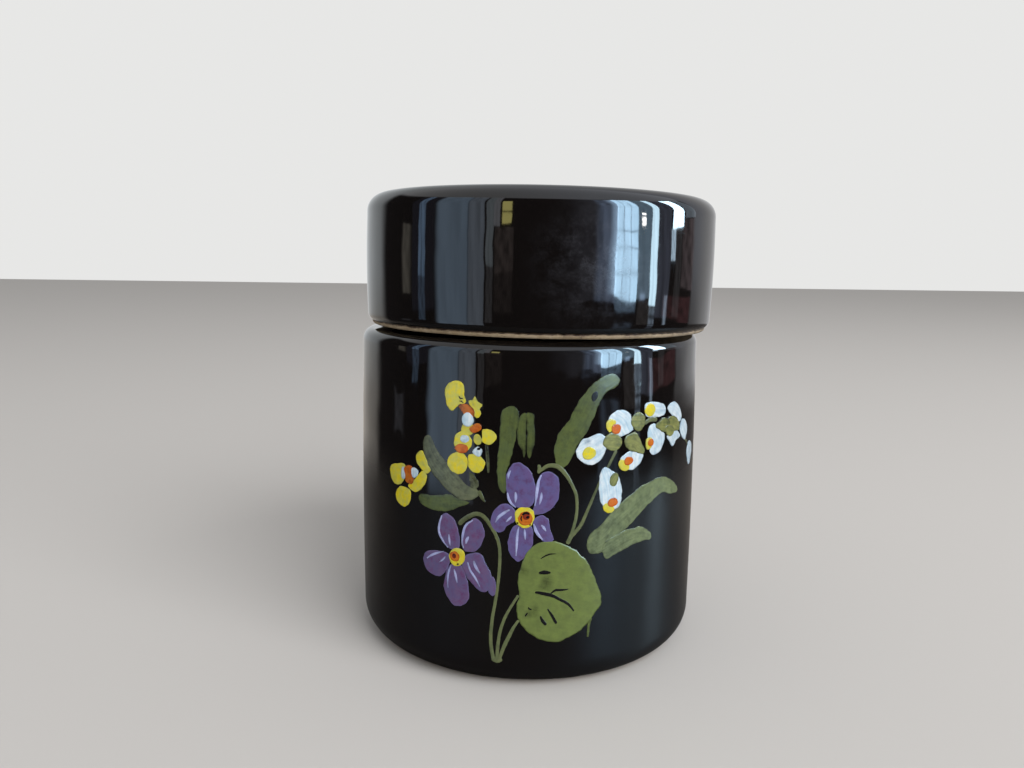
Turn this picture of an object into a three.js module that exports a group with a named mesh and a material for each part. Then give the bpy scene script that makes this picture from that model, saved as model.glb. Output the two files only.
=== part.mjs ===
// A small lidded jar: a turned clay jar with a short neck, and a deep cap lid that drops over the neck.
// Both are buff clay under a coat of black glaze. The jar's base and the lid's rim are left bare, because
// each was fired standing on that face. The lid lies as it was put down: slid over to one side until it
// meets the neck, and a little tipped. Millimetres, +Z up, the origin at the middle of the base, and -Y
// towards the viewer.
import * as THREE from "three";
import { mergeVertices } from "three/addons/utils/BufferGeometryUtils.js";

// The jar
const bodyRadius = 40; // at the top of the side wall
const bellySwell = 0.6; // how much wider the side is at its widest
const bellyHeight = 24; // where it is widest
const shoulderHeight = 73.2;
const shoulderRound = 2.6;
const baseRound = 6.7;
const bodyWall = 4.4;
const floorThickness = 5.2;
const insideRound = 6; // the inner corners, at the floor and under the shoulder
const neckHeight = 8.5; // from the shoulder to the lip
const neckWall = 3.4;
const neckFillet = 1.2;
const throatRound = 1.6; // the edge where the neck's inside turns out under the shoulder

// The lid
const lidOverhang = 1.1; // how far its side, at its widest, stands out past the jar's
const lidWidest = 16; // the height above the rim where it is widest
const lidTaper = 0.2; // how much narrower its side is at the top
const lidDraw = 0.55; // how much narrower its side is low down, just above the rim
const lidHeight = 29.8;
const lidTopRound = 4;
const lidWall = 5.6;
const lidTopThickness = 4.8;
const lidInsideRound = 5;
const rimInset = 1.3; // how far the rim that it stands on lies in from its side
const rimRound = 0.7;
const rimRise = 2.2; // above the bare clay, the height in which the rim swells out into the side

// The glaze
const glazeThickness = 0.4;
const glazeEdge = 1.3; // the length over which an edge thins out to nothing
const bareFoot = 0.9; // clay left bare above the jar's base
const bareRim = 0.9; // clay left bare above the lid's rim, outside and inside

// How the lid lies on the jar
const neckClearance = 2.35; // all round, between the neck and the lid's inside
const restGap = 0.3; // where one piece rests against the other
const lidLean = THREE.MathUtils.degToRad(0.62); // its right side down

// How finely the round shapes are cut
const turnFacets = 40;
const outsideFacets = 4; // in a quarter round
const insideFacets = 3;
const edgeFacets = 2;

// Worked out from the sizes above
const lidRadius = bodyRadius + lidOverhang;
const rimRadius = lidRadius - rimInset;
const rimInside = lidRadius - lidWall;
const neckRadius = rimInside - neckClearance;
const neckTop = shoulderHeight + neckHeight;
const lipRound = neckWall / 2;
const mouthRadius = neckRadius - neckWall;
const insideRadius = bodyRadius - bodyWall;
const insideTop = shoulderHeight - bodyWall;
const lidInsideTop = lidHeight - lidTopThickness;
const lidShift = neckClearance - restGap - neckHeight * Math.sin(lidLean);

const clay = new THREE.MeshStandardMaterial({ color: 0xa88a5c, roughness: 0.85, metalness: 0 });
const blackGlaze = new THREE.MeshStandardMaterial({ color: 0x0c0c0e, roughness: 0.08, metalness: 0 });

// A point of an outline: its radius, and its height as y.
function at(radius, height) {
  return new THREE.Vector2(radius, height);
}

// Points round an arc, from one angle to another in degrees, both ends included.
function arc(centreRadius, centreHeight, radius, from, to, facets) {
  return Array.from({ length: facets + 1 }, (_, i) => {
    const angle = THREE.MathUtils.degToRad(from + ((to - from) * i) / facets);
    return at(centreRadius + radius * Math.cos(angle), centreHeight + radius * Math.sin(angle));
  });
}

// The side's radius at a height: widest at the belly, and back to the body radius below the shoulder.
function sideRadius(height) {
  const fromBelly = (height - bellyHeight) / (shoulderHeight - shoulderRound - bellyHeight);
  return bodyRadius + bellySwell * (1 - fromBelly * fromBelly);
}

// The jar's surface, in two stretches: the bare base from its middle out, and then the glaze, from its edge
// up over the side and the lip and down inside to the middle of the floor.
function jarSurface() {
  const footRadius = sideRadius(baseRound) - baseRound;
  const sideTop = shoulderHeight - shoulderRound;
  const upperSide = (bellyHeight + sideTop) / 2;
  const ceiling = insideTop - insideRound;
  const edgeAngle = THREE.MathUtils.radToDeg(Math.acos(1 - bareFoot / baseRound)) - 90;
  const fullAngle = edgeAngle + THREE.MathUtils.radToDeg(glazeEdge / baseRound);
  return {
    base: [at(0, 0), at(footRadius, 0)],
    glazed: [
      ...arc(footRadius, baseRound, baseRound, edgeAngle, fullAngle, 1),
      ...arc(footRadius, baseRound, baseRound, fullAngle, 0, outsideFacets).slice(1),
      at(sideRadius(bellyHeight), bellyHeight),
      at(sideRadius(upperSide), upperSide),
      ...arc(bodyRadius - shoulderRound, sideTop, shoulderRound, 0, 90, outsideFacets),
      ...arc(neckRadius + neckFillet, shoulderHeight + neckFillet, neckFillet, -90, -180, edgeFacets),
      ...arc(neckRadius - lipRound, neckTop - lipRound, lipRound, 0, 180, 2 * edgeFacets),
      ...arc(mouthRadius + throatRound, insideTop + throatRound, throatRound, 180, 270, edgeFacets),
      ...arc(insideRadius - insideRound, ceiling, insideRound, 90, 0, insideFacets),
      ...arc(insideRadius - insideRound, floorThickness + insideRound, insideRound, 0, -90, insideFacets),
      at(0, floorThickness),
    ],
  };
}

// The lid's surface with its rim at height 0, in three stretches: the glazed inside from the middle out and
// down, the bare rim, and the glazed outside up over the side to the middle of the top.
function lidSurface() {
  const ceiling = lidInsideTop - lidInsideRound;
  const topRadius = lidRadius - lidTaper;
  return {
    inside: [
      at(0, lidInsideTop),
      ...arc(rimInside - lidInsideRound, ceiling, lidInsideRound, 90, 0, insideFacets),
      at(rimInside, bareRim + glazeEdge),
      at(rimInside, bareRim),
    ],
    rim: [
      ...arc(rimInside + rimRound, rimRound, rimRound, 180, 270, edgeFacets),
      ...arc(rimRadius - rimRound, rimRound, rimRound, -90, 0, edgeFacets),
    ],
    outside: [
      at(rimRadius, bareRim),
      at(lidRadius - lidDraw, bareRim + rimRise),
      at(lidRadius, lidWidest),
      ...arc(topRadius - lidTopRound, lidHeight - lidTopRound, lidTopRound, 0, 90, outsideFacets),
      at(0, lidHeight),
    ],
  };
}

// The direction out of the clay at a point of a stretch whose clay lies on its left, as long as it takes
// for a surface moved in by it to stay parallel.
function outward(stretch, i) {
  const here = stretch[i];
  const runs = [];
  if (i > 0) runs.push(here.clone().sub(stretch[i - 1]).normalize());
  if (i < stretch.length - 1) runs.push(stretch[i + 1].clone().sub(here).normalize());
  const normals = runs.map((run) => at(run.y, -run.x));
  const middle = normals.reduce((sum, normal) => sum.clone().add(normal)).normalize();
  return middle.divideScalar(middle.dot(normals[0]));
}

// The clay's face under a glazed stretch: a glaze thickness in, and flush with it only where the glaze ends.
function underGlaze(stretch, edge) {
  return stretch.map((here, i) =>
    here === edge ? here : here.clone().addScaledVector(outward(stretch, i), -glazeThickness),
  );
}

// The closed outline of the coat between a glazed stretch and the clay's face under it.
function coatOutline(stretch, clayFace) {
  const back = clayFace.filter((point) => !stretch.includes(point)).reverse();
  return stretch[0].x === 0 ? [...stretch, ...back] : [...back, ...stretch];
}

// A solid turned from an outline that starts and ends on the axis, with the axis upright.
function turned(name, outline, material) {
  const geometry = new THREE.LatheGeometry(outline, turnFacets);
  geometry.deleteAttribute("normal");
  geometry.deleteAttribute("uv");
  geometry.rotateX(Math.PI / 2);
  const solid = mergeVertices(geometry);
  solid.computeVertexNormals();
  const mesh = new THREE.Mesh(solid, material);
  mesh.name = name;
  return mesh;
}

// The height of the shoulder's surface at a distance from the jar's axis.
function shoulderTop(radius) {
  const over = THREE.MathUtils.clamp(radius - (bodyRadius - shoulderRound), 0, shoulderRound);
  return shoulderHeight - shoulderRound + Math.sqrt(shoulderRound ** 2 - over ** 2);
}

// How high the middle of the lid's rim lies: as the slid and tipped lid comes down, its rim stops where it
// first comes within a rest gap of the shoulder.
function seatHeight() {
  const heights = [];
  for (let i = 0; i < turnFacets; i += 1) {
    const around = (2 * Math.PI * i) / turnFacets;
    for (const edge of [rimInside + rimRound, rimRadius - rimRound]) {
      const out = edge * Math.cos(around);
      const fromAxis = Math.hypot(lidShift + out * Math.cos(lidLean), edge * Math.sin(around));
      heights.push(shoulderTop(fromAxis) + out * Math.sin(lidLean));
    }
  }
  return Math.max(...heights) + restGap;
}

function makeJar() {
  const { base, glazed } = jarSurface();
  const clayFace = underGlaze(glazed, glazed[0]);
  const jar = new THREE.Group();
  jar.add(turned("jar_body", [...base, ...clayFace], clay));
  jar.add(turned("jar_glaze", coatOutline(glazed, clayFace), blackGlaze));
  return jar;
}

function makeLid() {
  const { inside, rim, outside } = lidSurface();
  const insideFace = underGlaze(inside, inside[inside.length - 1]);
  const outsideFace = underGlaze(outside, outside[0]);
  const lid = new THREE.Group();
  lid.add(turned("lid_body", [...insideFace, ...rim, ...outsideFace], clay));
  lid.add(turned("lid_inner_glaze", coatOutline(inside, insideFace), blackGlaze));
  lid.add(turned("lid_outer_glaze", coatOutline(outside, outsideFace), blackGlaze));
  lid.position.set(lidShift, 0, seatHeight());
  lid.rotation.y = lidLean;
  return lid;
}

const liddedJar = new THREE.Group();
liddedJar.add(makeJar(), makeLid());

export default liddedJar;
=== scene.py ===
"""A small lidded jar in black glaze, with a spray of flowers painted on its front.

Lengths are in metres, except on the painted side, which is drawn in millimetres. The jar's axis is
Z, its base stands at height 0, and -Y is the painted front.
"""

import logging
import math
from bisect import bisect_left
from collections.abc import Callable, Iterator, Sequence
from contextlib import contextmanager
from dataclasses import dataclass
from enum import Enum

import bmesh
import bpy
from mathutils import Matrix, Vector, noise


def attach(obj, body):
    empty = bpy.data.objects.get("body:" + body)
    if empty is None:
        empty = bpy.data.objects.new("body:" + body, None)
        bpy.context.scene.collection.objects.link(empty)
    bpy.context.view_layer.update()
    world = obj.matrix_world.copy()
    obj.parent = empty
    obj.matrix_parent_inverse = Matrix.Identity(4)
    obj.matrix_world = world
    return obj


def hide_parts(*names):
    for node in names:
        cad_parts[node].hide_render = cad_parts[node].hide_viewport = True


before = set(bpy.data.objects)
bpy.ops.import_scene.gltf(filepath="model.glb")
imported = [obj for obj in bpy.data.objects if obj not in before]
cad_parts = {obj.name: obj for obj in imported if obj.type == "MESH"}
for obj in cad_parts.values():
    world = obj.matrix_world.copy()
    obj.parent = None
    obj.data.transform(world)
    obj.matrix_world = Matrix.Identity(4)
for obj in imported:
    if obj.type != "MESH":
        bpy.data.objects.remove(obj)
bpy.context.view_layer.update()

LOG = logging.getLogger("jar")
MM = 0.001
TOUCHING = 0.001 * MM  # points closer than this are one point
FROM_EDGE = "from_edge"  # on a turned piece: how far a point lies from where the glaze stops
THIN = "thin"  # on a painted piece: 0 where the paint is full, towards 1 where the brush ran dry
LOAD = "load"  # the vertex group that says how thick a skin or a stroke is at each point
FRAY = "fray"  # the vertex group that says how far the glaze's edge may wander

Colour = tuple[float, float, float]
Point = tuple[float, float]
Test = Callable[[Vector], bool]
Piece = bpy.types.Object


class Slot(str, Enum):
    """The names of the material slots."""

    CLAY = "clay"
    GLAZE = "black_glaze"
    GREEN = "leaf_green_enamel"
    VIOLET = "violet_enamel"
    YELLOW = "yellow_enamel"
    ORANGE = "orange_enamel"
    WHITE = "white_enamel"


class Body(str, Enum):
    """The bodies that a piece can move with."""

    JAR = "jar"
    LID = "lid"


# Materials


@dataclass(frozen=True)
class Cloud:
    """A cloudy noise about 0.5, and where a mask made from it starts."""

    size: float  # of its lumps
    detail: float = 2.0
    roughness: float = 0.5
    edge: float = 0.5
    soft: float = 0.25  # the width of the fade at the mask's edge

    def mask(self, cloudy: "Wire") -> "Wire":
        """Returns 1 where the noise is above the edge, and 0 elsewhere."""
        return cloudy.above(self.edge, self.soft)


class Wire:
    """A value in a material's node tree, so that shader maths reads as Python."""

    def __init__(self, recipe: "Recipe", socket: bpy.types.NodeSocket) -> None:
        """Keeps the socket that the value comes out of."""
        self.recipe = recipe
        self.socket = socket

    def _math(self, operation: str, *values: "Wire | float") -> "Wire":
        """Adds a Math node over these values."""
        return self.recipe.add("ShaderNodeMath", {"operation": operation}, *values)

    def __add__(self, other: "Wire | float") -> "Wire":
        """Returns the sum."""
        return self._math("ADD", self, other)

    __radd__ = __add__

    def __sub__(self, other: "Wire | float") -> "Wire":
        """Returns the difference."""
        return self._math("SUBTRACT", self, other)

    def __rsub__(self, other: float) -> "Wire":
        """Returns the difference, with the number first."""
        return self._math("SUBTRACT", other, self)

    def __mul__(self, other: "Wire | float") -> "Wire":
        """Returns the product."""
        return self._math("MULTIPLY", self, other)

    def __abs__(self) -> "Wire":
        """Returns the value without its sign."""
        return self._math("ABSOLUTE", self)

    def fraction(self) -> "Wire":
        """Returns what the value has past its last whole number."""
        return self._math("FRACT", self)

    def swing(self, reach: float) -> "Wire":
        """Returns a value about 0.5 as one about 0, made so many times larger."""
        return (self - 0.5) * reach

    def above(self, edge: "Wire | float", soft: float) -> "Wire":
        """Returns 0 below an edge and 1 above it, with a ramp of the given width centred on it."""
        ramp = {"interpolation_type": "SMOOTHSTEP"}
        half = soft / 2
        return self.recipe.add("ShaderNodeMapRange", ramp, self - edge, -half, half, 0.0, 1.0)

    def below(self, edge: "Wire | float", soft: float) -> "Wire":
        """Returns 1 below an edge and 0 above it, with a ramp of the given width centred on it."""
        return 1.0 - self.above(edge, soft)

    def held(self) -> "Wire":
        """Returns the value held between 0 and 1."""
        return self.recipe.add("ShaderNodeClamp", {}, self, 0.0, 1.0)


class Recipe:
    """A node tree under construction, whose values are wires."""

    def __init__(self, tree: bpy.types.NodeTree) -> None:
        """Empties the tree to start from."""
        self.tree = tree
        self.tree.nodes.clear()

    def add(
        self, kind: str, settings: dict[str, object], *inputs: object, out: int | str = 0
    ) -> Wire | None:
        """Adds any node.

        Args:
            kind: The node's type.
            settings: Its settings, set before its sockets are filled.
            *inputs: Values or wires for its sockets in order, with None to leave one as it is.
            out: Which of its outputs to return.

        Returns:
            The chosen output, or None for a node that ends the tree.
        """
        node = self.tree.nodes.new(kind)
        for key, value in settings.items():
            setattr(node, key, value)
        sockets = [socket for socket in node.inputs if socket.enabled]
        for socket, value in zip(sockets, inputs):
            self.feed(socket, value)
        return Wire(self, node.outputs[out]) if node.outputs else None

    def feed(self, socket: bpy.types.NodeSocket, value: object) -> None:
        """Fills a socket with a wire or a plain value. A colour is its red, green and blue.

        Args:
            socket: The socket to fill.
            value: The wire or the value, or None to leave it.
        """
        if isinstance(value, Wire):
            self.tree.links.new(value.socket, socket)
        elif value is not None:
            socket.default_value = (*value, 1.0) if socket.type == "RGBA" else value

    def place(self) -> Wire:
        """Returns the point's place in the piece's own coordinates."""
        return self.add("ShaderNodeTexCoord", {}, out="Object")

    def axis(self, at: Wire, name: str) -> Wire:
        """Returns the X, Y or Z of a place."""
        return self.add("ShaderNodeSeparateXYZ", {}, at, out=name)

    def attribute(self, name: str) -> Wire:
        """Returns a number that the mesh carries at each point."""
        return self.add("ShaderNodeAttribute", {"attribute_name": name}, out="Fac")

    def ray(self, kind: str) -> Wire:
        """Returns 1 for a ray of a kind, such as Glossy or Camera, and 0 for any other."""
        return self.add("ShaderNodeLightPath", {}, out=f"Is {kind} Ray")

    def stretched(self, at: Wire, scale: tuple[float, float, float]) -> Wire:
        """Returns a place scaled on each axis."""
        return self.add("ShaderNodeVectorMath", {"operation": "MULTIPLY"}, at, scale)

    def distance(self, at: Wire, centre: tuple[float, float, float]) -> Wire:
        """Returns how far a place is from a centre."""
        return self.add("ShaderNodeVectorMath", {"operation": "DISTANCE"}, at, centre, out="Value")

    def noise(self, at: Wire, cloud: Cloud) -> Wire:
        """Returns a cloudy noise about 0.5."""
        scale = 1.0 / cloud.size
        return self.add("ShaderNodeTexNoise", {}, at, scale, cloud.detail, cloud.roughness)

    def mask(self, at: Wire, cloud: Cloud) -> Wire:
        """Returns 1 where a cloudy noise is above its edge, and 0 elsewhere."""
        return cloud.mask(self.noise(at, cloud))

    def mix(self, amount: Wire | float, first: Wire | Colour, second: Wire | Colour) -> Wire:
        """Returns a colour between two colours."""
        return self.add("ShaderNodeMix", {"data_type": "RGBA"}, amount, first, second, out=2)

    def bump(self, height: Wire, depth: float, under: Wire | None = None) -> Wire:
        """Returns a normal raised by a height from 0 to 1 that stands for the given depth."""
        return self.add("ShaderNodeBump", {}, 1.0, depth, None, height, under, out="Normal")

    def principled(self, **inputs: object) -> Wire:
        """Adds the surface shader, with its sockets named with underscores in place of spaces.

        Args:
            **inputs: What each socket is fed.

        Returns:
            The shader.
        """
        shader = self.add("ShaderNodeBsdfPrincipled", {})
        for name, value in inputs.items():
            self.feed(shader.socket.node.inputs[name.replace("_", " ")], value)
        return shader

    def finish(self, shader: Wire, output: str = "ShaderNodeOutputMaterial") -> None:
        """Ends the tree in an output."""
        self.add(output, {}, shader)


def new_material(name: str) -> tuple[bpy.types.Material, Recipe]:
    """Returns an empty material and the recipe to fill it with."""
    material = bpy.data.materials.new(name)
    material.use_nodes = True
    return material, Recipe(material.node_tree)


@dataclass(frozen=True)
class Finish:
    """What a surface looks like."""

    def surface(self, recipe: Recipe) -> Wire:
        """Returns the surface's shader, mixed in a recipe."""
        raise NotImplementedError

    def material(self, name: str) -> bpy.types.Material:
        """Returns the finish as a material with the given name."""
        material, recipe = new_material(name)
        recipe.finish(self.surface(recipe))
        return material


@dataclass(frozen=True)
class BlackGlaze(Finish):
    """The glossy black glaze: rippled like still water, and thin and brown where it stops."""

    black: Colour = (0.0034, 0.0026, 0.0025)
    brown: Colour = (0.050, 0.021, 0.009)
    roughness: float = 0.04
    ior: float = 1.5
    fringe: float = 0.28 * MM  # how wide the thin edge is
    fringe_fade: float = 0.25 * MM
    fringe_roughness: float = 0.3
    wander: float = 1.1 * MM
    wandering: Cloud = Cloud(0.9 * MM, 3.0, 0.6)
    ripple: float = 0.18 * MM
    ripples: Cloud = Cloud(12 * MM, 1.5)
    unevenness: float = 0.0015 * MM
    uneven: Cloud = Cloud(1.8 * MM)
    grey: Colour = (0.085, 0.088, 0.105)
    dust: float = 0.0
    dust_at: tuple[float, float, float] = (12 * MM, -38 * MM, 88 * MM)
    dust_reach: float = 15 * MM
    dust_half_share: float = 0.6  # of the reach, where the dust is half gone
    dust_clouds: Cloud = Cloud(3.5 * MM, 5.0, 0.7, 0.52, 0.3)
    dust_grains: Cloud = Cloud(0.7 * MM, 4.0, 0.7, 0.52, 0.4)
    dust_grain_share: float = 0.65
    dust_roughness: float = 0.4
    specks: Cloud = Cloud(0.30 * MM, 1.0, edge=0.80, soft=0.04)
    speck_share: float = 0.08

    def surface(self, recipe: Recipe) -> Wire:
        """Returns the glaze's shader, mixed in a recipe.

        Args:
            recipe: The recipe of the material that it is for.

        Returns:
            The shader.
        """
        at = recipe.place()
        wander = recipe.noise(at, self.wandering).swing(self.wander)
        thin = (recipe.attribute(FROM_EDGE) + wander).below(self.fringe, self.fringe_fade)
        edge = self.dust_reach * self.dust_half_share
        handled = recipe.distance(at, self.dust_at).below(edge, self.dust_reach)
        clouds = recipe.mask(at, self.dust_clouds)
        grains = recipe.mask(at, self.dust_grains) * self.dust_grain_share
        grains = grains + (1 - self.dust_grain_share)
        specks = recipe.mask(at, self.specks)
        dusty = handled * clouds * grains * self.dust + specks * self.speck_share
        colour = recipe.mix(dusty, recipe.mix(thin, self.black, self.brown), self.grey)
        waves = recipe.bump(recipe.noise(at, self.ripples), self.ripple)
        skin = recipe.bump(recipe.noise(at, self.uneven), self.unevenness, waves)
        rough = self.roughness + dusty * self.dust_roughness + thin * self.fringe_roughness
        return recipe.principled(Base_Color=colour, Roughness=rough, IOR=self.ior, Normal=skin)


@dataclass(frozen=True)
class BuffClay(Finish):
    """The bare clay: buff and sandy, with iron specks, and stained brown beside the glaze."""

    buff: Colour = (0.27, 0.200, 0.115)
    pale: Colour = (0.37, 0.290, 0.190)
    clouds: Cloud = Cloud(2.2 * MM, 4.0, 0.6, 0.53, 0.3)
    roughness: float = 0.82
    pale_roughness: float = 0.12
    iron: Colour = (0.060, 0.028, 0.013)
    specks: Cloud = Cloud(0.32 * MM, 1.0, edge=0.67, soft=0.08)
    speck_iron: float = 0.7
    patches: Cloud = Cloud(5 * MM, 3.0, 0.6, 0.58, 0.2)
    patch_iron: float = 0.32
    stain: float = 0.07 * MM  # how wide the stained edge is
    stain_fade: float = 0.32 * MM
    stain_iron: float = 0.9
    wander: float = 0.9 * MM
    wandering: Cloud = Cloud(0.7 * MM, 3.0, 0.6)
    sand: float = 0.05 * MM
    sandy: Cloud = Cloud(0.28 * MM, 3.0, 0.65)

    def surface(self, recipe: Recipe) -> Wire:
        """Returns the clay's shader, mixed in a recipe.

        Args:
            recipe: The recipe of the material that it is for.

        Returns:
            The shader.
        """
        at = recipe.place()
        cloudy = recipe.mask(at, self.clouds)
        patches = recipe.mask(at, self.patches) * self.patch_iron
        specks = recipe.mask(at, self.specks) * self.speck_iron
        wander = recipe.noise(at, self.wandering).swing(self.wander)
        stain = (recipe.attribute(FROM_EDGE) + wander).below(self.stain, self.stain_fade)
        body = recipe.mix(cloudy, self.buff, self.pale)
        iron = (specks + patches + stain * self.stain_iron).held()
        colour = recipe.mix(iron, body, self.iron)
        sand = recipe.bump(recipe.noise(at, self.sandy), self.sand)
        rough = self.roughness + cloudy * self.pale_roughness
        return recipe.principled(Base_Color=colour, Roughness=rough, Normal=sand)


@dataclass(frozen=True)
class Enamel(Finish):
    """A brushed-on enamel: two shades in clouds and streaks, with blotches, and worn where thin."""

    slot: Slot
    paint: Colour
    second: Colour
    blotch: Colour
    blotches: float = 0.5
    streaks: float = 0.3
    under: Colour = (0.005, 0.004, 0.004)
    clouds: Cloud = Cloud(2.4 * MM, 3.0, 0.6)
    mottle: Cloud = Cloud(1.5 * MM, 5.0, 0.68, 0.57, 0.26)
    mottle_depth: float = 0.02 * MM
    mottle_wear: float = 3.0
    mottle_roughness: float = 0.10
    bristles: Cloud = Cloud(1.0, 3.0, 0.55)
    bristle_stretch: tuple[float, float, float] = (0.17, 2.3, 1.0)
    bristle_depth: float = 0.014 * MM
    bristle_wear: float = 1.6
    most_wear: float = 0.94
    roughness: float = 0.17
    ior: float = 1.4

    def surface(self, recipe: Recipe) -> Wire:
        """Returns the enamel's shader, mixed in a recipe.

        Args:
            recipe: The recipe of the material that it is for.

        Returns:
            The shader.
        """
        at = recipe.place()
        drawn = recipe.add("ShaderNodeUVMap", {"uv_map": "UVMap"})
        bristles = recipe.noise(recipe.stretched(drawn, self.bristle_stretch), self.bristles)
        clouds = recipe.noise(at, self.clouds)
        mottle = recipe.noise(at, self.mottle)
        streaks = self.bristles.mask(bristles) * self.streaks
        shade = self.clouds.mask(clouds) * (1.0 - self.streaks) + streaks
        body = recipe.mix(shade, self.paint, self.second)
        body = recipe.mix(self.mottle.mask(mottle) * self.blotches, body, self.blotch)
        wear = 1.0 + bristles.swing(self.bristle_wear) + mottle.swing(self.mottle_wear)
        showing = (recipe.attribute(THIN) * wear).held()
        colour = recipe.mix(showing * self.most_wear, body, self.under)
        ridges = recipe.bump(bristles, self.bristle_depth)
        skin = recipe.bump(mottle, self.mottle_depth, ridges)
        rough = self.roughness + mottle * self.mottle_roughness
        return recipe.principled(Base_Color=colour, Roughness=rough, IOR=self.ior, Normal=skin)


class Paint(Enum):
    """The enamels on the painter's palette."""

    LEAF_GREEN = Enamel(
        Slot.GREEN, (0.142, 0.188, 0.052), (0.118, 0.158, 0.046), (0.085, 0.108, 0.040), 0.4,
    )
    STEM_GREEN = Enamel(
        Slot.GREEN, (0.135, 0.155, 0.070), (0.105, 0.128, 0.060), (0.065, 0.080, 0.040),
    )
    BELL_CAP_GREEN = Enamel(
        Slot.GREEN, (0.260, 0.275, 0.085), (0.135, 0.165, 0.062), (0.080, 0.095, 0.038),
        streaks=0.6,
    )
    BLADE_GREEN = Enamel(
        Slot.GREEN, (0.100, 0.130, 0.038), (0.082, 0.112, 0.044), (0.050, 0.066, 0.030),
    )
    PALE_BLADE_GREEN = Enamel(
        Slot.GREEN, (0.190, 0.240, 0.115), (0.150, 0.195, 0.095), (0.100, 0.130, 0.060),
    )
    GREY_BLADE_GREEN = Enamel(
        Slot.GREEN, (0.150, 0.170, 0.092), (0.110, 0.128, 0.078), (0.060, 0.070, 0.046),
    )
    PLUM_VIOLET = Enamel(
        Slot.VIOLET, (0.128, 0.082, 0.178), (0.100, 0.085, 0.195), (0.120, 0.034, 0.115), 0.8,
        under=(0.125, 0.135, 0.270),
    )
    VIOLET = Enamel(
        Slot.VIOLET, (0.112, 0.078, 0.205), (0.098, 0.090, 0.230), (0.088, 0.038, 0.110), 0.8,
        under=(0.140, 0.150, 0.330),
    )
    PALE_LILAC = Enamel(
        Slot.WHITE, (0.40, 0.44, 0.70), (0.30, 0.33, 0.58), (0.20, 0.19, 0.42), 0.35,
    )
    YELLOW = Enamel(
        Slot.YELLOW, (0.66, 0.54, 0.006), (0.49, 0.48, 0.085), (0.37, 0.36, 0.035), 0.45,
        under=(0.26, 0.28, 0.08), clouds=Cloud(1.4 * MM, 3.0, 0.6),
    )
    ORANGE = Enamel(
        Slot.ORANGE, (0.52, 0.100, 0.003), (0.50, 0.150, 0.014), (0.26, 0.038, 0.004), 0.6,
    )
    DEEP_RED = Enamel(
        Slot.ORANGE, (0.30, 0.035, 0.012), (0.16, 0.018, 0.008), (0.05, 0.010, 0.006), 0.6,
    )
    BLUISH_WHITE = Enamel(
        Slot.WHITE, (0.68, 0.75, 0.79), (0.40, 0.57, 0.69), (0.27, 0.38, 0.50), 0.40, 0.55,
        under=(0.12, 0.19, 0.28),
    )
    BLACK_LINES = Enamel(
        Slot.GLAZE, (0.006, 0.006, 0.006), (0.010, 0.009, 0.009), (0.006, 0.006, 0.006), 0.2,
    )


# Modelling by hand


def pick(piece: Piece) -> None:
    """Makes a piece the only one selected."""
    bpy.ops.object.select_all(action="DESELECT")
    piece.select_set(True)
    bpy.context.view_layer.objects.active = piece


def made(name: str) -> Piece:
    """Names what was just added, and returns it."""
    piece = bpy.context.view_layer.objects.active
    piece.name = piece.data.name = name
    return piece


@contextmanager
def editing(piece: Piece) -> Iterator[None]:
    """Holds a piece in edit mode, by its vertices.

    Args:
        piece: The piece to work on.

    Returns:
        A context in which the piece is in edit mode.
    """
    pick(piece)
    bpy.ops.object.mode_set(mode="EDIT")
    bpy.ops.mesh.select_mode(type="VERT")
    yield
    bpy.ops.object.mode_set(mode="OBJECT")


def choose(piece: Piece, test: Test) -> None:
    """Selects the vertices that pass a test of their place.

    Args:
        piece: The piece, in edit mode.
        test: Says whether a place passes.
    """
    mesh = bmesh.from_edit_mesh(piece.data)
    for vert in mesh.verts:
        vert.select_set(test(vert.co))
    mesh.select_flush_mode()
    bmesh.update_edit_mesh(piece.data)


def choose_faces(piece: Piece, test: Test) -> None:
    """Selects the faces whose middles pass a test.

    Args:
        piece: The piece, in edit mode.
        test: Says whether a place passes.
    """
    bpy.ops.mesh.select_mode(type="FACE")
    mesh = bmesh.from_edit_mesh(piece.data)
    for face in mesh.faces:
        face.select_set(test(face.calc_center_median()))
    bmesh.update_edit_mesh(piece.data)


def apply(piece: Piece, kind: str, **settings: object) -> None:
    """Gives a piece a modifier and applies it.

    Args:
        piece: The piece to change.
        kind: The modifier's type.
        **settings: The modifier's settings.
    """
    pick(piece)
    modifier = piece.modifiers.new(kind.lower(), kind)
    for key, value in settings.items():
        setattr(modifier, key, value)
    bpy.ops.object.modifier_apply(modifier=modifier.name)


def twin(piece: Piece, name: str) -> Piece:
    """Returns a copy of a piece with its own mesh."""
    pick(piece)
    bpy.ops.object.duplicate()
    return made(name)


def settle(piece: Piece, place: Sequence[float], lean: float = 0.0) -> None:
    """Puts a piece in its place, leaning about Y, with its origin left where it was.

    Args:
        piece: The piece to move.
        place: How far it moves, in X, Y and Z.
        lean: How far it turns, in radians.
    """
    pick(piece)
    piece.location = place
    piece.rotation_euler = (0, lean, 0)
    bpy.ops.object.transform_apply(location=True, rotation=True, scale=True)


def weigh(piece: Piece, group: str, weights: Sequence[float]) -> None:
    """Fills a vertex group with a weight for each vertex."""
    verts = piece.vertex_groups.new(name=group)
    for index, weight in enumerate(weights):
        verts.add([index], min(1.0, max(0.0, weight)), "REPLACE")


def measure(piece: Piece, name: str, values: Sequence[float]) -> None:
    """Stores a number for each vertex, for the material to read."""
    piece.data.attributes.new(name, "FLOAT", "POINT").data.foreach_set("value", values)


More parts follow.
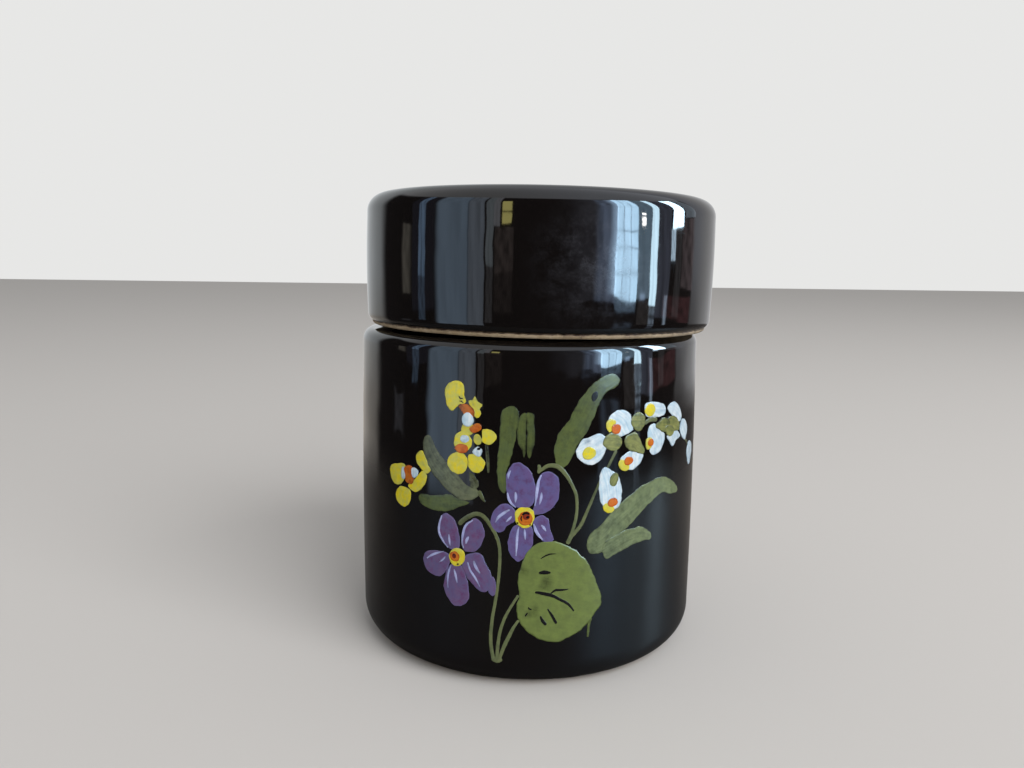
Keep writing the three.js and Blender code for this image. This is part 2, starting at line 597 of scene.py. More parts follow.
def deliver(piece: Piece, body: Body, material: bpy.types.Material) -> None:
    """Dresses a finished piece and hands it to the body that it moves with.

    Args:
        piece: The finished piece.
        body: The body that it moves with.
        material: What it is made of.
    """
    pick(piece)
    bpy.ops.object.shade_smooth()
    piece.data.materials.clear()
    piece.data.materials.append(material)
    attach(piece, body.value)
    LOG.info("%s: %d faces, moves with the %s", piece.name, len(piece.data.polygons), body.value)


# The turned pots


@dataclass(frozen=True)
class Corner:
    """A point of a turned outline, and the radius that its corner is rounded to."""

    radius: float
    height: float
    rounding: float = 0.0
    facets: int = 12

    @property
    def place(self) -> Vector:
        """The point on the wheel's upright plane."""
        return Vector((self.radius, 0.0, self.height))


def run(start: Point, end: Point, pieces: int) -> list[Corner]:
    """Returns the points that cut a straight run into so many pieces, without its ends."""
    wide, tall = end[0] - start[0], end[1] - start[1]
    shares = [step / pieces for step in range(1, pieces)]
    return [Corner(start[0] + wide * share, start[1] + tall * share) for share in shares]


def turn(name: str, outline: Sequence[Corner], steps: int) -> Piece:
    """Turns an outline that starts and ends on the axis into a closed pot.

    Args:
        name: The pot's name.
        outline: The points of the outline, from the middle of the base outwards.
        steps: How many facets go round.

    Returns:
        The pot, with its faces pointing outwards.
    """
    bpy.ops.object.select_all(action="DESELECT")
    bpy.ops.mesh.primitive_plane_add(size=MM, location=(0, 0, 0))
    pot = made(name)
    with editing(pot):
        bpy.ops.mesh.select_all(action="SELECT")
        bpy.ops.mesh.merge(type="CENTER")
        bpy.ops.transform.translate(value=outline[0].place)
        for here, there in zip(outline, outline[1:]):
            step = there.place - here.place
            bpy.ops.mesh.extrude_region_move(TRANSFORM_OT_translate={"value": step})
        for before, corner, after in zip(outline, outline[1:], outline[2:]):
            if corner.rounding:
                ahead, back = after.place - corner.place, corner.place - before.place
                reach = corner.rounding * math.tan(ahead.angle(back) / 2)
                choose(pot, lambda co: (co - corner.place).length < TOUCHING)
                bpy.ops.mesh.bevel(offset=reach, segments=corner.facets, affect="VERTICES")
        bpy.ops.mesh.select_all(action="SELECT")
        bpy.ops.mesh.spin(steps=steps, angle=2 * math.pi, center=(0, 0, 0), axis=(0, 0, 1))
        bpy.ops.mesh.select_all(action="SELECT")
        bpy.ops.mesh.remove_doubles(threshold=TOUCHING)
        bpy.ops.mesh.normals_make_consistent(inside=False)
    return pot


@dataclass
class Pot:
    """A turned pot under its glaze, made upright on the wheel and then put in its place."""

    glaze: float = 0.4 * MM
    thinning: float = 1.3 * MM  # the length over which the glaze thins out to its edge
    thinnest_share: float = 0.02  # of the glaze's thickness, left at its edge
    bare: float = 0.9 * MM  # the clay left bare above the face that the pot was fired on
    hair: float = 0.01 * MM  # a height too small to see
    fray_reach: float = 0.9 * MM
    fray_depth: float = 0.16 * MM
    fray_size: float = 1.6 * MM
    steps: int = 320

    def outline(self) -> list[Corner]:
        """Returns the whole outline over the glaze, from the middle of the base outwards."""
        raise NotImplementedError

    def stops(self) -> list[Point]:
        """Returns the radius and height of each edge where the glaze stops."""
        raise NotImplementedError

    def from_stop(self, co: Vector) -> float:
        """Returns how far a point lies from the nearest edge of the glaze."""
        out = math.hypot(co.x, co.y)
        return min(math.hypot(out - radius, co.z - height) for radius, height in self.stops())

    def load(self, co: Vector, far: float) -> float:
        """Returns how full the glaze is at a place that is so far from its edge."""
        return 0.0 if co.z < self.bare + self.hair else far / self.thinning

    def skin(self, name: str) -> Piece:
        """Turns the pot at its size over the glaze, and marks how far the glaze's edges are.

        Args:
            name: The skin's name.

        Returns:
            The closed skin, with its weights and its distances.
        """
        pot = turn(name, self.outline(), self.steps)
        places = [vert.co.copy() for vert in pot.data.vertices]
        far = [self.from_stop(co) for co in places]
        weigh(pot, FRAY, [1 - distance / self.fray_reach for distance in far])
        weigh(pot, LOAD, [self.load(co, distance) for co, distance in zip(places, far)])
        measure(pot, FROM_EDGE, far)
        return pot

    def fray(self, piece: Piece) -> None:
        """Lets the glaze's edge wander up and down.

        Args:
            piece: The skin to change.
        """
        name = f"fray_{self.fray_size:g}"
        cloud = bpy.data.textures.get(name) or bpy.data.textures.new(name, "CLOUDS")
        cloud.noise_scale = self.fray_size
        moves = {"direction": "Z", "vertex_group": FRAY, "strength": self.fray_depth}
        apply(piece, "DISPLACE", texture=cloud, **moves)

    def clay(self, skin: Piece, name: str) -> Piece:
        """Returns the clay under a skin: sunk by the glaze's thickness where there is glaze.

        Args:
            skin: The skin over the glaze.
            name: The clay's name.

        Returns:
            The clay.
        """
        clay = twin(skin, name)
        sinks = {"direction": "NORMAL", "vertex_group": LOAD, "strength": -self.glaze}
        apply(clay, "DISPLACE", mid_level=0.0, **sinks)
        return clay

    def coat(self, skin: Piece, name: str, covered: Test) -> Piece:
        """Returns the coat of glaze over the part of a skin whose faces pass a test.

        Args:
            skin: The skin over the glaze.
            name: The coat's name.
            covered: Says whether the coat covers a place.

        Returns:
            The coat, as a sheet.
        """
        coat = twin(skin, name)
        with editing(coat):
            choose_faces(coat, lambda co: not (co.z > self.bare and covered(co)))
            bpy.ops.mesh.delete(type="FACE")
        return coat

    def thicken(self, coat: Piece) -> None:
        """Gives a coat its thickness, into the pot, thinning out to an edge where it stops."""
        thins = {"vertex_group": LOAD, "thickness_vertex_group": self.thinnest_share}
        apply(coat, "SOLIDIFY", thickness=self.glaze, offset=-1.0, **thins)

    def layers(self, name: str, coats: dict[str, Test]) -> list[Piece]:
        """Makes the pot's clay and its coats of glaze.

        Args:
            name: The pot's name.
            coats: Each coat's name, and a test of which faces over the bare clay it covers.

        Returns:
            The clay, and then the coats.
        """
        skin = self.skin(f"{name}_skin")
        pieces = [self.clay(skin, f"{name}_clay")]
        pieces += [self.coat(skin, coat, covered) for coat, covered in coats.items()]
        for piece in pieces:
            self.fray(piece)
        for coat in pieces[1:]:
            self.thicken(coat)
        bpy.data.objects.remove(skin)
        return pieces


@dataclass
class Jar(Pot):
    """The jar: a straight side with a slight belly, a rounded shoulder and base, a short neck."""

    radius: float = 40 * MM
    swell: float = 0.6 * MM
    belly: float = 24 * MM
    shoulder: float = 73.2 * MM
    shoulder_round: float = 2.6 * MM
    base_round: float = 6.7 * MM
    neck_radius: float = 33.15 * MM
    mouth_radius: float = 29.75 * MM
    neck_top: float = 81.7 * MM
    neck_fillet: float = 1.2 * MM
    inside_radius: float = 35.6 * MM
    inside_top: float = 68.8 * MM
    inside_round: float = 6 * MM
    throat_round: float = 1.6 * MM
    floor: float = 5.2 * MM
    rows: int = 22  # up the side

    def side(self, height: float) -> float:
        """Returns the side's radius at a height."""
        from_belly = (height - self.belly) / (self.shoulder - self.shoulder_round - self.belly)
        return self.radius + self.swell * (1 - from_belly * from_belly)

    def outline(self) -> list[Corner]:
        """Returns the outline: base, side, shoulder, neck, lip, and the inside to the floor.

        Returns:
            The outline's corners, in order, all at a radius and a height.
        """
        foot = self.side(self.base_round)
        rise = self.shoulder - self.shoulder_round - self.base_round
        heights = [self.base_round + rise * row / self.rows for row in range(1, self.rows)]
        neck, mouth, inside = self.neck_radius, self.mouth_radius, self.inside_radius
        lip = (neck - mouth) / 2
        ceiling, ground = self.inside_top - self.inside_round, self.floor + self.inside_round
        throat = self.inside_top + self.throat_round
        return [
            Corner(0, 0),
            *run((0, 0), (foot - self.base_round, 0), pieces=10),
            Corner(foot, 0, self.base_round),
            *(Corner(self.side(height), height) for height in heights),
            Corner(self.radius, self.shoulder, self.shoulder_round),
            Corner(neck, self.shoulder, self.neck_fillet, facets=6),
            *run((neck, self.shoulder + self.neck_fillet), (neck, self.neck_top - lip), pieces=3),
            Corner(neck, self.neck_top, lip, facets=10),
            Corner(mouth, self.neck_top, lip, facets=10),
            *run((mouth, self.neck_top - lip), (mouth, throat), pieces=3),
            Corner(mouth, self.inside_top, self.throat_round, facets=8),
            Corner(inside, self.inside_top, self.inside_round, facets=10),
            *run((inside, ceiling), (inside, ground), pieces=14),
            Corner(inside, self.floor, self.inside_round, facets=10),
            *run((inside - self.inside_round, self.floor), (0, self.floor), pieces=8),
            Corner(0, self.floor),
        ]

    def stops(self) -> list[Point]:
        """Returns the edge just above the base."""
        foot = self.side(self.base_round) - self.base_round
        angle = math.acos(1 - self.bare / self.base_round)
        return [(foot + self.base_round * math.sin(angle), self.bare)]

    def build(self, clay: bpy.types.Material, black: bpy.types.Material) -> None:
        """Makes and dresses the jar.

        Args:
            clay: The clay's material.
            black: The black glaze's material.
        """
        body, coat = self.layers("jar", {"jar_glaze_coat": lambda co: True})
        deliver(body, Body.JAR, clay)
        deliver(coat, Body.JAR, black)
        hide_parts("jar_body")
        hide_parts("jar_glaze")


@dataclass
class Lid(Pot):
    """The lid: a deep cap that stands on a bare clay rim, lying a little askew on the jar."""

    fray_depth: float = 0.42 * MM
    fray_size: float = 1.2 * MM
    radius: float = 41.1 * MM
    widest: float = 16 * MM
    taper: float = 0.2 * MM
    draw: float = 0.25 * MM  # how much narrower the side is low down
    lip_draw: float = 0.9575 * MM  # how much narrower still it is where the glaze stops
    height: float = 29.8 * MM
    top_round: float = 4 * MM
    rim_radius: float = 39.8 * MM
    rim_round: float = 0.7 * MM
    rim_rise: float = 2.2 * MM
    inside_radius: float = 35.5 * MM
    inside_top: float = 25 * MM
    inside_round: float = 5 * MM
    inside_margin: float = 0.1 * MM
    lip_rows: int = 7
    wall_rows: int = 16
    slip: float = 1.958 * MM
    seat: float = 73.789 * MM
    lean: float = math.radians(0.62)

    def side(self, height: float) -> float:
        """Returns the side's radius at a height above the bare rim.

        Args:
            height: A height from the lid's bare rim up.

        Returns:
            The radius there.
        """
        shelf, swollen = self.height - self.top_round, self.bare + self.rim_rise
        if height > self.widest:
            past = (height - self.widest) / (shelf - self.widest)
            return self.radius - self.taper * past**2
        drawn_in = self.draw * ((self.widest - height) / (self.widest - swollen)) ** 2
        under_lip = self.lip_draw * (max(0.0, swollen - height) / self.rim_rise) ** 4
        return self.radius - drawn_in - under_lip

    def outline(self) -> list[Corner]:
        """Returns the outline: the inside from the middle down, the rim, and the outside up.

        Returns:
            The outline's corners, in order, all at a radius and a height.
        """
        ceiling, shelf = self.inside_top - self.inside_round, self.height - self.top_round
        swollen = self.bare + self.rim_rise
        rows = self.lip_rows
        lip = [self.bare + self.rim_rise * row / rows for row in range(1, rows)]
        rows = self.wall_rows
        wall = [swollen + (shelf - swollen) * row / rows for row in range(rows)]
        inside, top = self.inside_radius, self.inside_top
        return [
            Corner(0, top),
            *run((0, top), (inside - self.inside_round, top), pieces=8),
            Corner(inside, top, self.inside_round, facets=10),
            *run((inside, ceiling), (inside, swollen), pieces=6),
            *(Corner(inside, height) for height in reversed(lip)),
            Corner(inside, self.bare),
            Corner(inside, 0, self.rim_round, facets=6),
            Corner(self.rim_radius, 0, self.rim_round, facets=6),
            Corner(self.rim_radius, self.bare),
            *(Corner(self.side(height), height) for height in [*lip, *wall]),
            Corner(self.side(shelf), self.height, self.top_round, facets=14),
            *run((self.side(shelf) - self.top_round, self.height), (0, self.height), pieces=10),
            Corner(0, self.height),
        ]

    def stops(self) -> list[Point]:
        """Returns the edges inside and outside the rim."""
        return [(self.inside_radius, self.bare), (self.rim_radius, self.bare)]

    def hollow(self, co: Vector) -> bool:
        """Says whether a point of the lid is on its inside."""
        within = math.hypot(co.x, co.y) < self.inside_radius + self.inside_margin
        return within and co.z < self.inside_top + self.inside_margin

    def build(self, clay: bpy.types.Material, black: bpy.types.Material) -> None:
        """Makes and dresses the lid, and puts it where it lies on the jar.

        Args:
            clay: The clay's material.
            black: The black glaze's material.
        """
        coats = {"lid_inside_coat": self.hollow, "lid_outside_coat": lambda co: not self.hollow(co)}
        body, inside, outside = self.layers("lid", coats)
        for piece in (body, inside, outside):
            settle(piece, (self.slip, 0, self.seat), self.lean)
        deliver(body, Body.LID, clay)
        deliver(inside, Body.LID, black)
        deliver(outside, Body.LID, black)
        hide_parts("lid_body")
        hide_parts("lid_inner_glaze")
        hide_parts("lid_outer_glaze")


# The painter's marks. Places are millimetres round the side from the front, and of height.


@dataclass(frozen=True)
class Stroke:
    """One brush stroke: the points that it runs through, and its width and dryness along them."""

    path: tuple[Point, ...]
    widths: tuple[float, ...]
    layer: int = 1
    dry: tuple[float, ...] = (0.0,)
    relief: float = 0.05
    wobble: float = 1.0


@dataclass(frozen=True)
class Blot:
    """A patch of paint with an outline of its own, which starts where the brush left it.

    Its bare spots, each a place and a radius, are where the black shows through.
    """

    outline: tuple[Point, ...]
    layer: int = 2
    dry: tuple[float, ...] = (0.0,)
    relief: float = 0.05
    bare: tuple[tuple[float, float, float], ...] = ()


Mark = Stroke | Blot


@dataclass(frozen=True)
class Drop:
    """The paint at one point of a mark: its thickness, its dryness, and where the bristles ran."""

    place: Vector
    thick: float
    dry: float
    grain: Vector


def along(values: Sequence[float], share: float) -> float:
    """Returns the value at a share of the way through a list, run smoothly through its numbers.

    Args:
        values: The numbers, evenly spaced.
        share: A share from 0 to 1.

    Returns:
        The value there.
    """
    if len(values) == 1:
        return values[0]
    place = min(max(share, 0.0), 1.0) * (len(values) - 1)
    low = min(int(place), len(values) - 2)
    part = place - low
    first, last = values[max(low - 1, 0)], values[min(low + 2, len(values) - 1)]
    start, end = values[low], values[low + 1]
    rise, fall = (end - first) / 2, (last - start) / 2
    eased = (end - start) * part * part * (3 - 2 * part)
    return start + eased + part * (1 - part) * (rise * (1 - part) - fall * part)


def smoothed(points: Sequence[Vector], pieces: int) -> list[Vector]:
    """Returns close points on the smooth curve through the inner ones of these points.

    Args:
        points: The points, with one more before the curve and one after it.
        pieces: The steps from each point to the next.

    Returns:
        The curve's points, with its last left out.
    """
    curve = []
    for a, b, c, d in zip(points, points[1:], points[2:], points[3:]):
        bend, twist = 2 * a - 5 * b + 4 * c - d, 3 * b - a - 3 * c + d
        for step in range(pieces):
            t = step / pieces
            curve.append(0.5 * (2 * b + (c - a) * t + bend * t**2 + twist * t**3))
    return curve


def through(path: Sequence[Point], pieces: int = 12) -> list[Vector]:
    """Returns close points on the smooth curve that runs from the first given one to the last."""
    points = [Vector(point) for point in path]
    before, after = 2 * points[0] - points[1], 2 * points[-1] - points[-2]
    return [*smoothed([before, *points, after], pieces), points[-1]]


def enclosing(outline: Sequence[Point], pieces: int = 10) -> list[Vector]:
    """Returns close points on the smooth closed curve through the given ones, taken clockwise.

    Args:
        outline: The points that the curve runs through.
        pieces: The steps from each to the next.

    Returns:
        The curve's points, in order.
    """
    points = [Vector(point) for point in outline]
    area = sum(here.cross(there) for here, there in zip(points, [*points[1:], points[0]]))
    if area > 0:
        points = [points[0], *reversed(points[1:])]
    return smoothed([points[-1], *points, points[0], points[1]], pieces)


class Line:
    """A curve of close points that can be walked along."""

    shortest = 1e-9  # the least length that a stretch is taken to have

    def __init__(self, points: Sequence[Vector]) -> None:
        """Measures how far along the curve each of its points lies.

        Args:
            points: The curve's points, in order.
        """
        self.points = list(points)
        self.reach = [0.0]
        for here, there in zip(points, points[1:]):
            self.reach.append(self.reach[-1] + (there - here).length)

    @property
    def length(self) -> float:
        """The length of the curve."""
        return self.reach[-1]

    def span(self, distance: float) -> int:
        """Returns the number of the point that ends the stretch at a distance along."""
        return min(max(bisect_left(self.reach, distance), 1), len(self.points) - 1)

    def at(self, distance: float) -> Vector:
        """Returns the place at a distance along.

        Args:
            distance: A distance from the curve's start.

        Returns:
            The place.
        """
        end = self.span(distance)
        start = self.reach[end - 1]
        part = (distance - start) / max(self.shortest, self.reach[end] - start)
        return self.points[end - 1].lerp(self.points[end], part)

    def share(self, share: float) -> Vector:
        """Returns the place at a share of the length."""
        return self.at(self.length * share)

    def heading(self, distance: float) -> Vector:
        """Returns the direction at a distance along."""
        end = self.span(distance)
        return (self.points[end] - self.points[end - 1]).normalized()


def rounded(distance: float, radius: float) -> float:
    """Returns how full a round end is at a distance from its tip, as a share of its width."""
    if distance >= radius:
        return 1.0
    return math.sqrt(max(0.0, 1 - (1 - distance / radius) ** 2))


def draw(x: float, y: float, z: float) -> float:
    """Returns a random number about 0 that changes smoothly with its place."""
    return noise.noise(Vector((x, y, z)))


@dataclass(frozen=True)
class Shake:
    """How far a mark's edge strays in long waves and in short ones, and how fast they come."""

    slow: float
    quick: float
    slow_pace: float
    quick_pace: float


class Brush:
    """The painter's brush, which lays enamel on the jar's side. Its sizes are millimetres."""

    row = 0.42  # between the rows of a mark
    end_rows = 7  # in a stroke's round end
    fewest = 8  # the least lanes of a stroke, and places round half a patch
    lane_pairs = 1.2  # for each millimetre of a stroke's width
    crowding = 0.75  # how far a stroke's lanes crowd towards its edges
    longest_end = 0.45  # the share of a stroke that a round end may take
    rings = (0.0, 0.2, 0.4, 0.58, 0.72, 0.83, 0.91, 0.965, 1.0)  # of a patch, from spine to edge
    most_margin = 0.46  # the share of a patch's length that its spine may stop short by
    probes = 9  # of a patch's width
    stride = 0.02  # the share of a patch's length over which its spine's direction is taken
    shortest = 1e-6  # the least distance from a patch's spine to its edge
    sunk = 0.03  # how far a mark reaches into the glaze
    layer_rise = 0.022  # how far each layer stands over the last
    deepest = 0.5  # the thickness that a full weight stands for
    bead = 0.32  # how far in from its edge a mark reaches its full height
    soft = 0.30  # how far in from its edge a mark stays thin
    soft_dry = 0.3  # how dry it is there
    bare_dry = 0.5  # how much drier a bare spot is
    stroke_shake = Shake(0.11, 0.05, 0.45, 1.9)
    steady = 1.2  # the half width from which a stroke's long waves are full
    blot_shake = Shake(0.20, 0.17, 0.4, 1.1)
    next_mark = 17.0  # between the random draws of one mark and the next
    next_wave = 40.0  # and of a stroke's long waves and its short ones
    next_edge = (5.0, 9.0)  # and of its two edges, in long waves and in short ones
    grain_across = 3.7  # how far the bristles of each mark lie from the last one's
    grain_along = 1.1

    def __init__(self, jar: Jar) -> None:
        """Takes the jar to paint, and mixes the enamels."""
        self.jar = jar
        self.materials = {paint: paint.value.material(paint.name.lower()) for paint in Paint}
        self.marks = 0

    def thickness(self, mark: Mark, inland: float) -> float:
        """Returns how thick a mark is at a distance in from its edge."""
        rise = min(1.0, inland / self.bead)
        return self.sunk + mark.layer * self.layer_rise + mark.relief * math.sqrt(rise * (2 - rise))

    def edge_wear(self, inland: float) -> float:
        """Returns how much the black shows near the edge of a mark."""
        return self.soft_dry * max(0.0, 1 - inland / self.soft)

    def press(self, columns: int, rows: int, drop: Callable[[int, int], Drop]) -> Piece:
        """Lays out a sheet of paint, across as X and up as Z, facing -Y.

        Args:
            columns: How many faces it has one way.
            rows: How many faces it has the other way.
            drop: Gives the paint at a column and a row, both counted from 0.

        Returns:
            The flat sheet, which knows how thick and how dry it is all over.
        """
        bpy.ops.object.select_all(action="DESELECT")
        bpy.ops.mesh.primitive_grid_add(x_subdivisions=columns, y_subdivisions=rows, size=1.0)
        sheet = bpy.context.view_layer.objects.active
        drops = []
        for vert in sheet.data.vertices:
            paint = drop(round((vert.co.x + 0.5) * columns), round((vert.co.y + 0.5) * rows))
            height = paint.place.y * MM
            side = self.jar.side(max(height, self.jar.base_round))
            out = side - self.jar.radius - self.sunk * MM
            vert.co = (paint.place.x * MM, -out, height)
            drops.append(paint)
        corners = [drops[loop.vertex_index].grain for loop in sheet.data.loops]
        for corner, grain in zip(sheet.data.uv_layers.active.data, corners):
            corner.uv = grain
        weigh(sheet, LOAD, [paint.thick / self.deepest for paint in drops])
        measure(sheet, THIN, [paint.dry for paint in drops])
        with editing(sheet):
            bpy.ops.mesh.select_all(action="SELECT")
            bpy.ops.mesh.remove_doubles(threshold=TOUCHING)
        return sheet

    def lay(self, mark: Mark) -> Piece:
        """Lays out one mark."""
        self.marks += 1
        return self.lay_stroke(mark) if isinstance(mark, Stroke) else self.lay_blot(mark)

    def stations(self, length: float, first: float, last: float) -> list[float]:
        """Returns where along a stroke its rows lie, closer together in its round ends.

        Args:
            length: The stroke's length.
            first: The radius of its first end.
            last: The radius of its last end.

        Returns:
            Distances along it, from 0 to its length.
        """
        ends = range(self.end_rows)
        turns = [1 - math.cos(math.pi / 2 * step / self.end_rows) for step in ends]
        middle = max(1, round((length - first - last) / self.row))
        between = [first + (length - first - last) * step / middle for step in range(middle + 1)]
        closing = [length - last * turn for turn in reversed(turns)]
        return [first * turn for turn in turns] + between + closing

    def lay_stroke(self, stroke: Stroke) -> Piece:
        """Lays out a stroke as rows across its path.

        Args:
            stroke: The stroke to lay out.

        Returns:
            Its flat sheet of paint.
        """
        line = Line(through(stroke.path))
        first = min(stroke.widths[0] / 2, line.length * self.longest_end)
        last = min(stroke.widths[-1] / 2, line.length * self.longest_end)
        stations = self.stations(line.length, first, last)
        lanes = max(self.fewest, 2 * round(max(stroke.widths) * self.lane_pairs))
        seed = self.next_mark * self.marks
        waves = self.stroke_shake

        def drop(row: int, lane: int) -> Drop:
            """Returns the paint at a row and a lane of the stroke.

            Args:
                row: The row, counted along the stroke.
                lane: The lane, counted across it.

            Returns:
                The paint there.
            """
            station = stations[row]
            even = 2 * lane / lanes - 1
            across = math.sin(even * math.pi / 2) * self.crowding + even * (1 - self.crowding)
            heading = line.heading(station)
            full = rounded(station, first) * rounded(line.length - station, last)
            half = along(stroke.widths, station / line.length) / 2 * full
            edge = math.copysign(1.0, across)
            slow_edge, quick_edge = (edge * apart for apart in self.next_edge)
            slow = draw(station * waves.slow_pace, slow_edge, seed)
            quick = draw(station * waves.quick_pace, quick_edge, seed + self.next_wave)
            shake = waves.slow * min(1.0, half / self.steady) * slow + waves.quick * quick
            shake = stroke.wobble * shake * abs(across)
            out = across * max(0.0, half + shake * min(1.0, full * 2))
            inland = (1 - abs(across)) * half
            dry = along(stroke.dry, station / line.length)
            dry += self.edge_wear(inland) * min(1.0, half)
            across_bristles = across * half + seed * self.grain_along
            grain = Vector((station + seed * self.grain_across, across_bristles))
            place = line.at(station) + Vector((-heading.y, heading.x)) * out
            return Drop(place, self.thickness(stroke, inland), dry, grain)

        return self.press(len(stations) - 1, lanes, drop)

    def lay_blot(self, blot: Blot) -> Piece:
        """Lays out a patch as rings between its spine and its outline.

        Args:
            blot: The patch to lay out.

        Returns:
            Its flat sheet of paint.
        """
        loop = enclosing(blot.outline)
        far = max(range(len(loop)), key=lambda i: (loop[i] - loop[0]).length)
        there, back = Line(loop[: far + 1]), Line([loop[0], *reversed(loop[far:])])
        length = (loop[far] - loop[0]).length
        half = max(self.fewest, round((there.length + back.length) / 2 / self.row))
        probes = [probe / self.probes for probe in range(1, self.probes)]
        widest = max((there.share(share) - back.share(share)).length for share in probes)
        margin = min(self.most_margin, widest / length / 2)
        seed = self.next_mark * self.marks
        waves = self.blot_shake

        def middle(share: float) -> Vector:
            """Returns the place midway between the sides at a share of their lengths."""
            return (there.share(share) + back.share(share)) / 2

        def drop(column: int, ring: int) -> Drop:
            """Returns the paint at a place round the patch and a ring out from its spine.

            Args:
                column: The place, counted round the patch.
                ring: The ring, counted from the spine out.

            Returns:
                The paint there.
            """
            side = there if column <= half else back
            share = column / half if column <= half else 2 - column / half
            inner = min(max(share, margin), 1 - margin)
            spine, rim = middle(inner), side.share(share)
            ray = rim - spine
            paces = (waves.slow_pace, waves.quick_pace)
            slow, quick = (draw(rim.x * pace, rim.y * pace, seed) for pace in paces)
            out = self.rings[ring]
            reach = max(self.shortest, ray.length)
            shake = (waves.slow * slow + waves.quick * quick) * out * out / max(1.0, reach)
            place = spine + ray * out * (1 + shake)
            inland = (1 - out) * reach
            ahead, behind = min(inner + self.stride, 1), max(inner - self.stride, 0)
            axis = (middle(ahead) - middle(behind)).normalized()
            step = place - spine
            grain = Vector((inner * length + step.dot(axis), axis.cross(step)))
            grain += Vector((seed * self.grain_across, seed))
            dry = along(blot.dry, share) + self.edge_wear(inland)
            for x, y, radius in blot.bare:
                gap = (place - Vector((x, y))).length / radius
                dry += self.bare_dry * max(0.0, 1 - gap * gap)
            return Drop(place, self.thickness(blot, inland), min(dry, 1.0), grain)

        return self.press(2 * half, len(self.rings) - 1, drop)

    def paint(self, name: str, paint: Paint, marks: Sequence[Mark]) -> None:
        """Paints marks of one enamel on the jar as one piece.

        Args:
            name: The piece's name.
            paint: The enamel.
            marks: The marks, in order.
        """
        sheets = [self.lay(mark) for mark in marks]
        pick(sheets[0])
        for sheet in sheets:
            sheet.select_set(True)
        if len(sheets) > 1:
            bpy.ops.object.join()
        piece = made(name)
        across = [vert.co.x for vert in piece.data.vertices]
        bend = {"deform_method": "BEND", "deform_axis": "Z"}
        apply(piece, "SIMPLE_DEFORM", angle=(max(across) - min(across)) / self.jar.radius, **bend)
        thins = {"vertex_group": LOAD, "thickness_vertex_group": 0.0}
        apply(piece, "SOLIDIFY", thickness=self.deepest * MM, offset=1.0, **thins)
        settle(piece, (0, -self.jar.radius, 0))
        deliver(piece, Body.JAR, self.materials[paint])


DAB_CORNERS = 8  # the points that a dab's outline runs through
DAB_UNEVEN = 0.10  # how uneven it is
DAB_NEXT = 2.3  # between the random draws of its corners
LIGHT_SHARES = (0.5, 1.0, 0.9, 0.35)  # of a pale stroke's width, along it
LIGHT_DRIES = 0.15  # how much drier it gets by its end


def dab(
    around: float, height: float, wide: float, tall: float, layer: int = 2,
    turn_deg: float = 0.0, relief: float = 0.06, dry: float = 0.0,
) -> Blot:
    """Returns a round dab of paint, pressed down with the tip of the brush.

    Args:
        around: Its middle, round the side.
        height: Its middle, up the side.
        wide: Its width.
        tall: Its height.
        layer: How many coats of paint it lies over.
        turn_deg: How far it is turned, in degrees.
        relief: How far it stands up.
        dry: How dry it is.

    Returns:
        The patch.
    """
    cos, sin = math.cos(math.radians(turn_deg)), math.sin(math.radians(turn_deg))
    outline = []
    for corner in range(DAB_CORNERS):
        angle = 2 * math.pi * corner / DAB_CORNERS
        uneven = 1 + DAB_UNEVEN * draw(around, height, corner * DAB_NEXT)
        x, y = math.cos(angle) * wide / 2 * uneven, math.sin(angle) * tall / 2 * uneven
        outline.append((around + (x * cos - y * sin), height + (x * sin + y * cos)))
    return Blot(tuple(outline), layer, (dry,), relief)


def light(*path: Point, width: float = 0.45, dry: float = 0.2) -> Stroke:
    """Returns a thin pale stroke over a petal."""
    widths = tuple(width * share for share in LIGHT_SHARES)
    dries = (dry, 0.0, dry + LIGHT_DRIES)
    return Stroke(path, widths, layer=5, dry=dries, relief=0.03, wobble=0.6)


@dataclass(frozen=True)
class Motif:
    """Marks of one enamel, painted as one piece."""

    name: str
    paint: Paint
    marks: tuple[Mark, ...]


# The spray, in the order that it is painted in

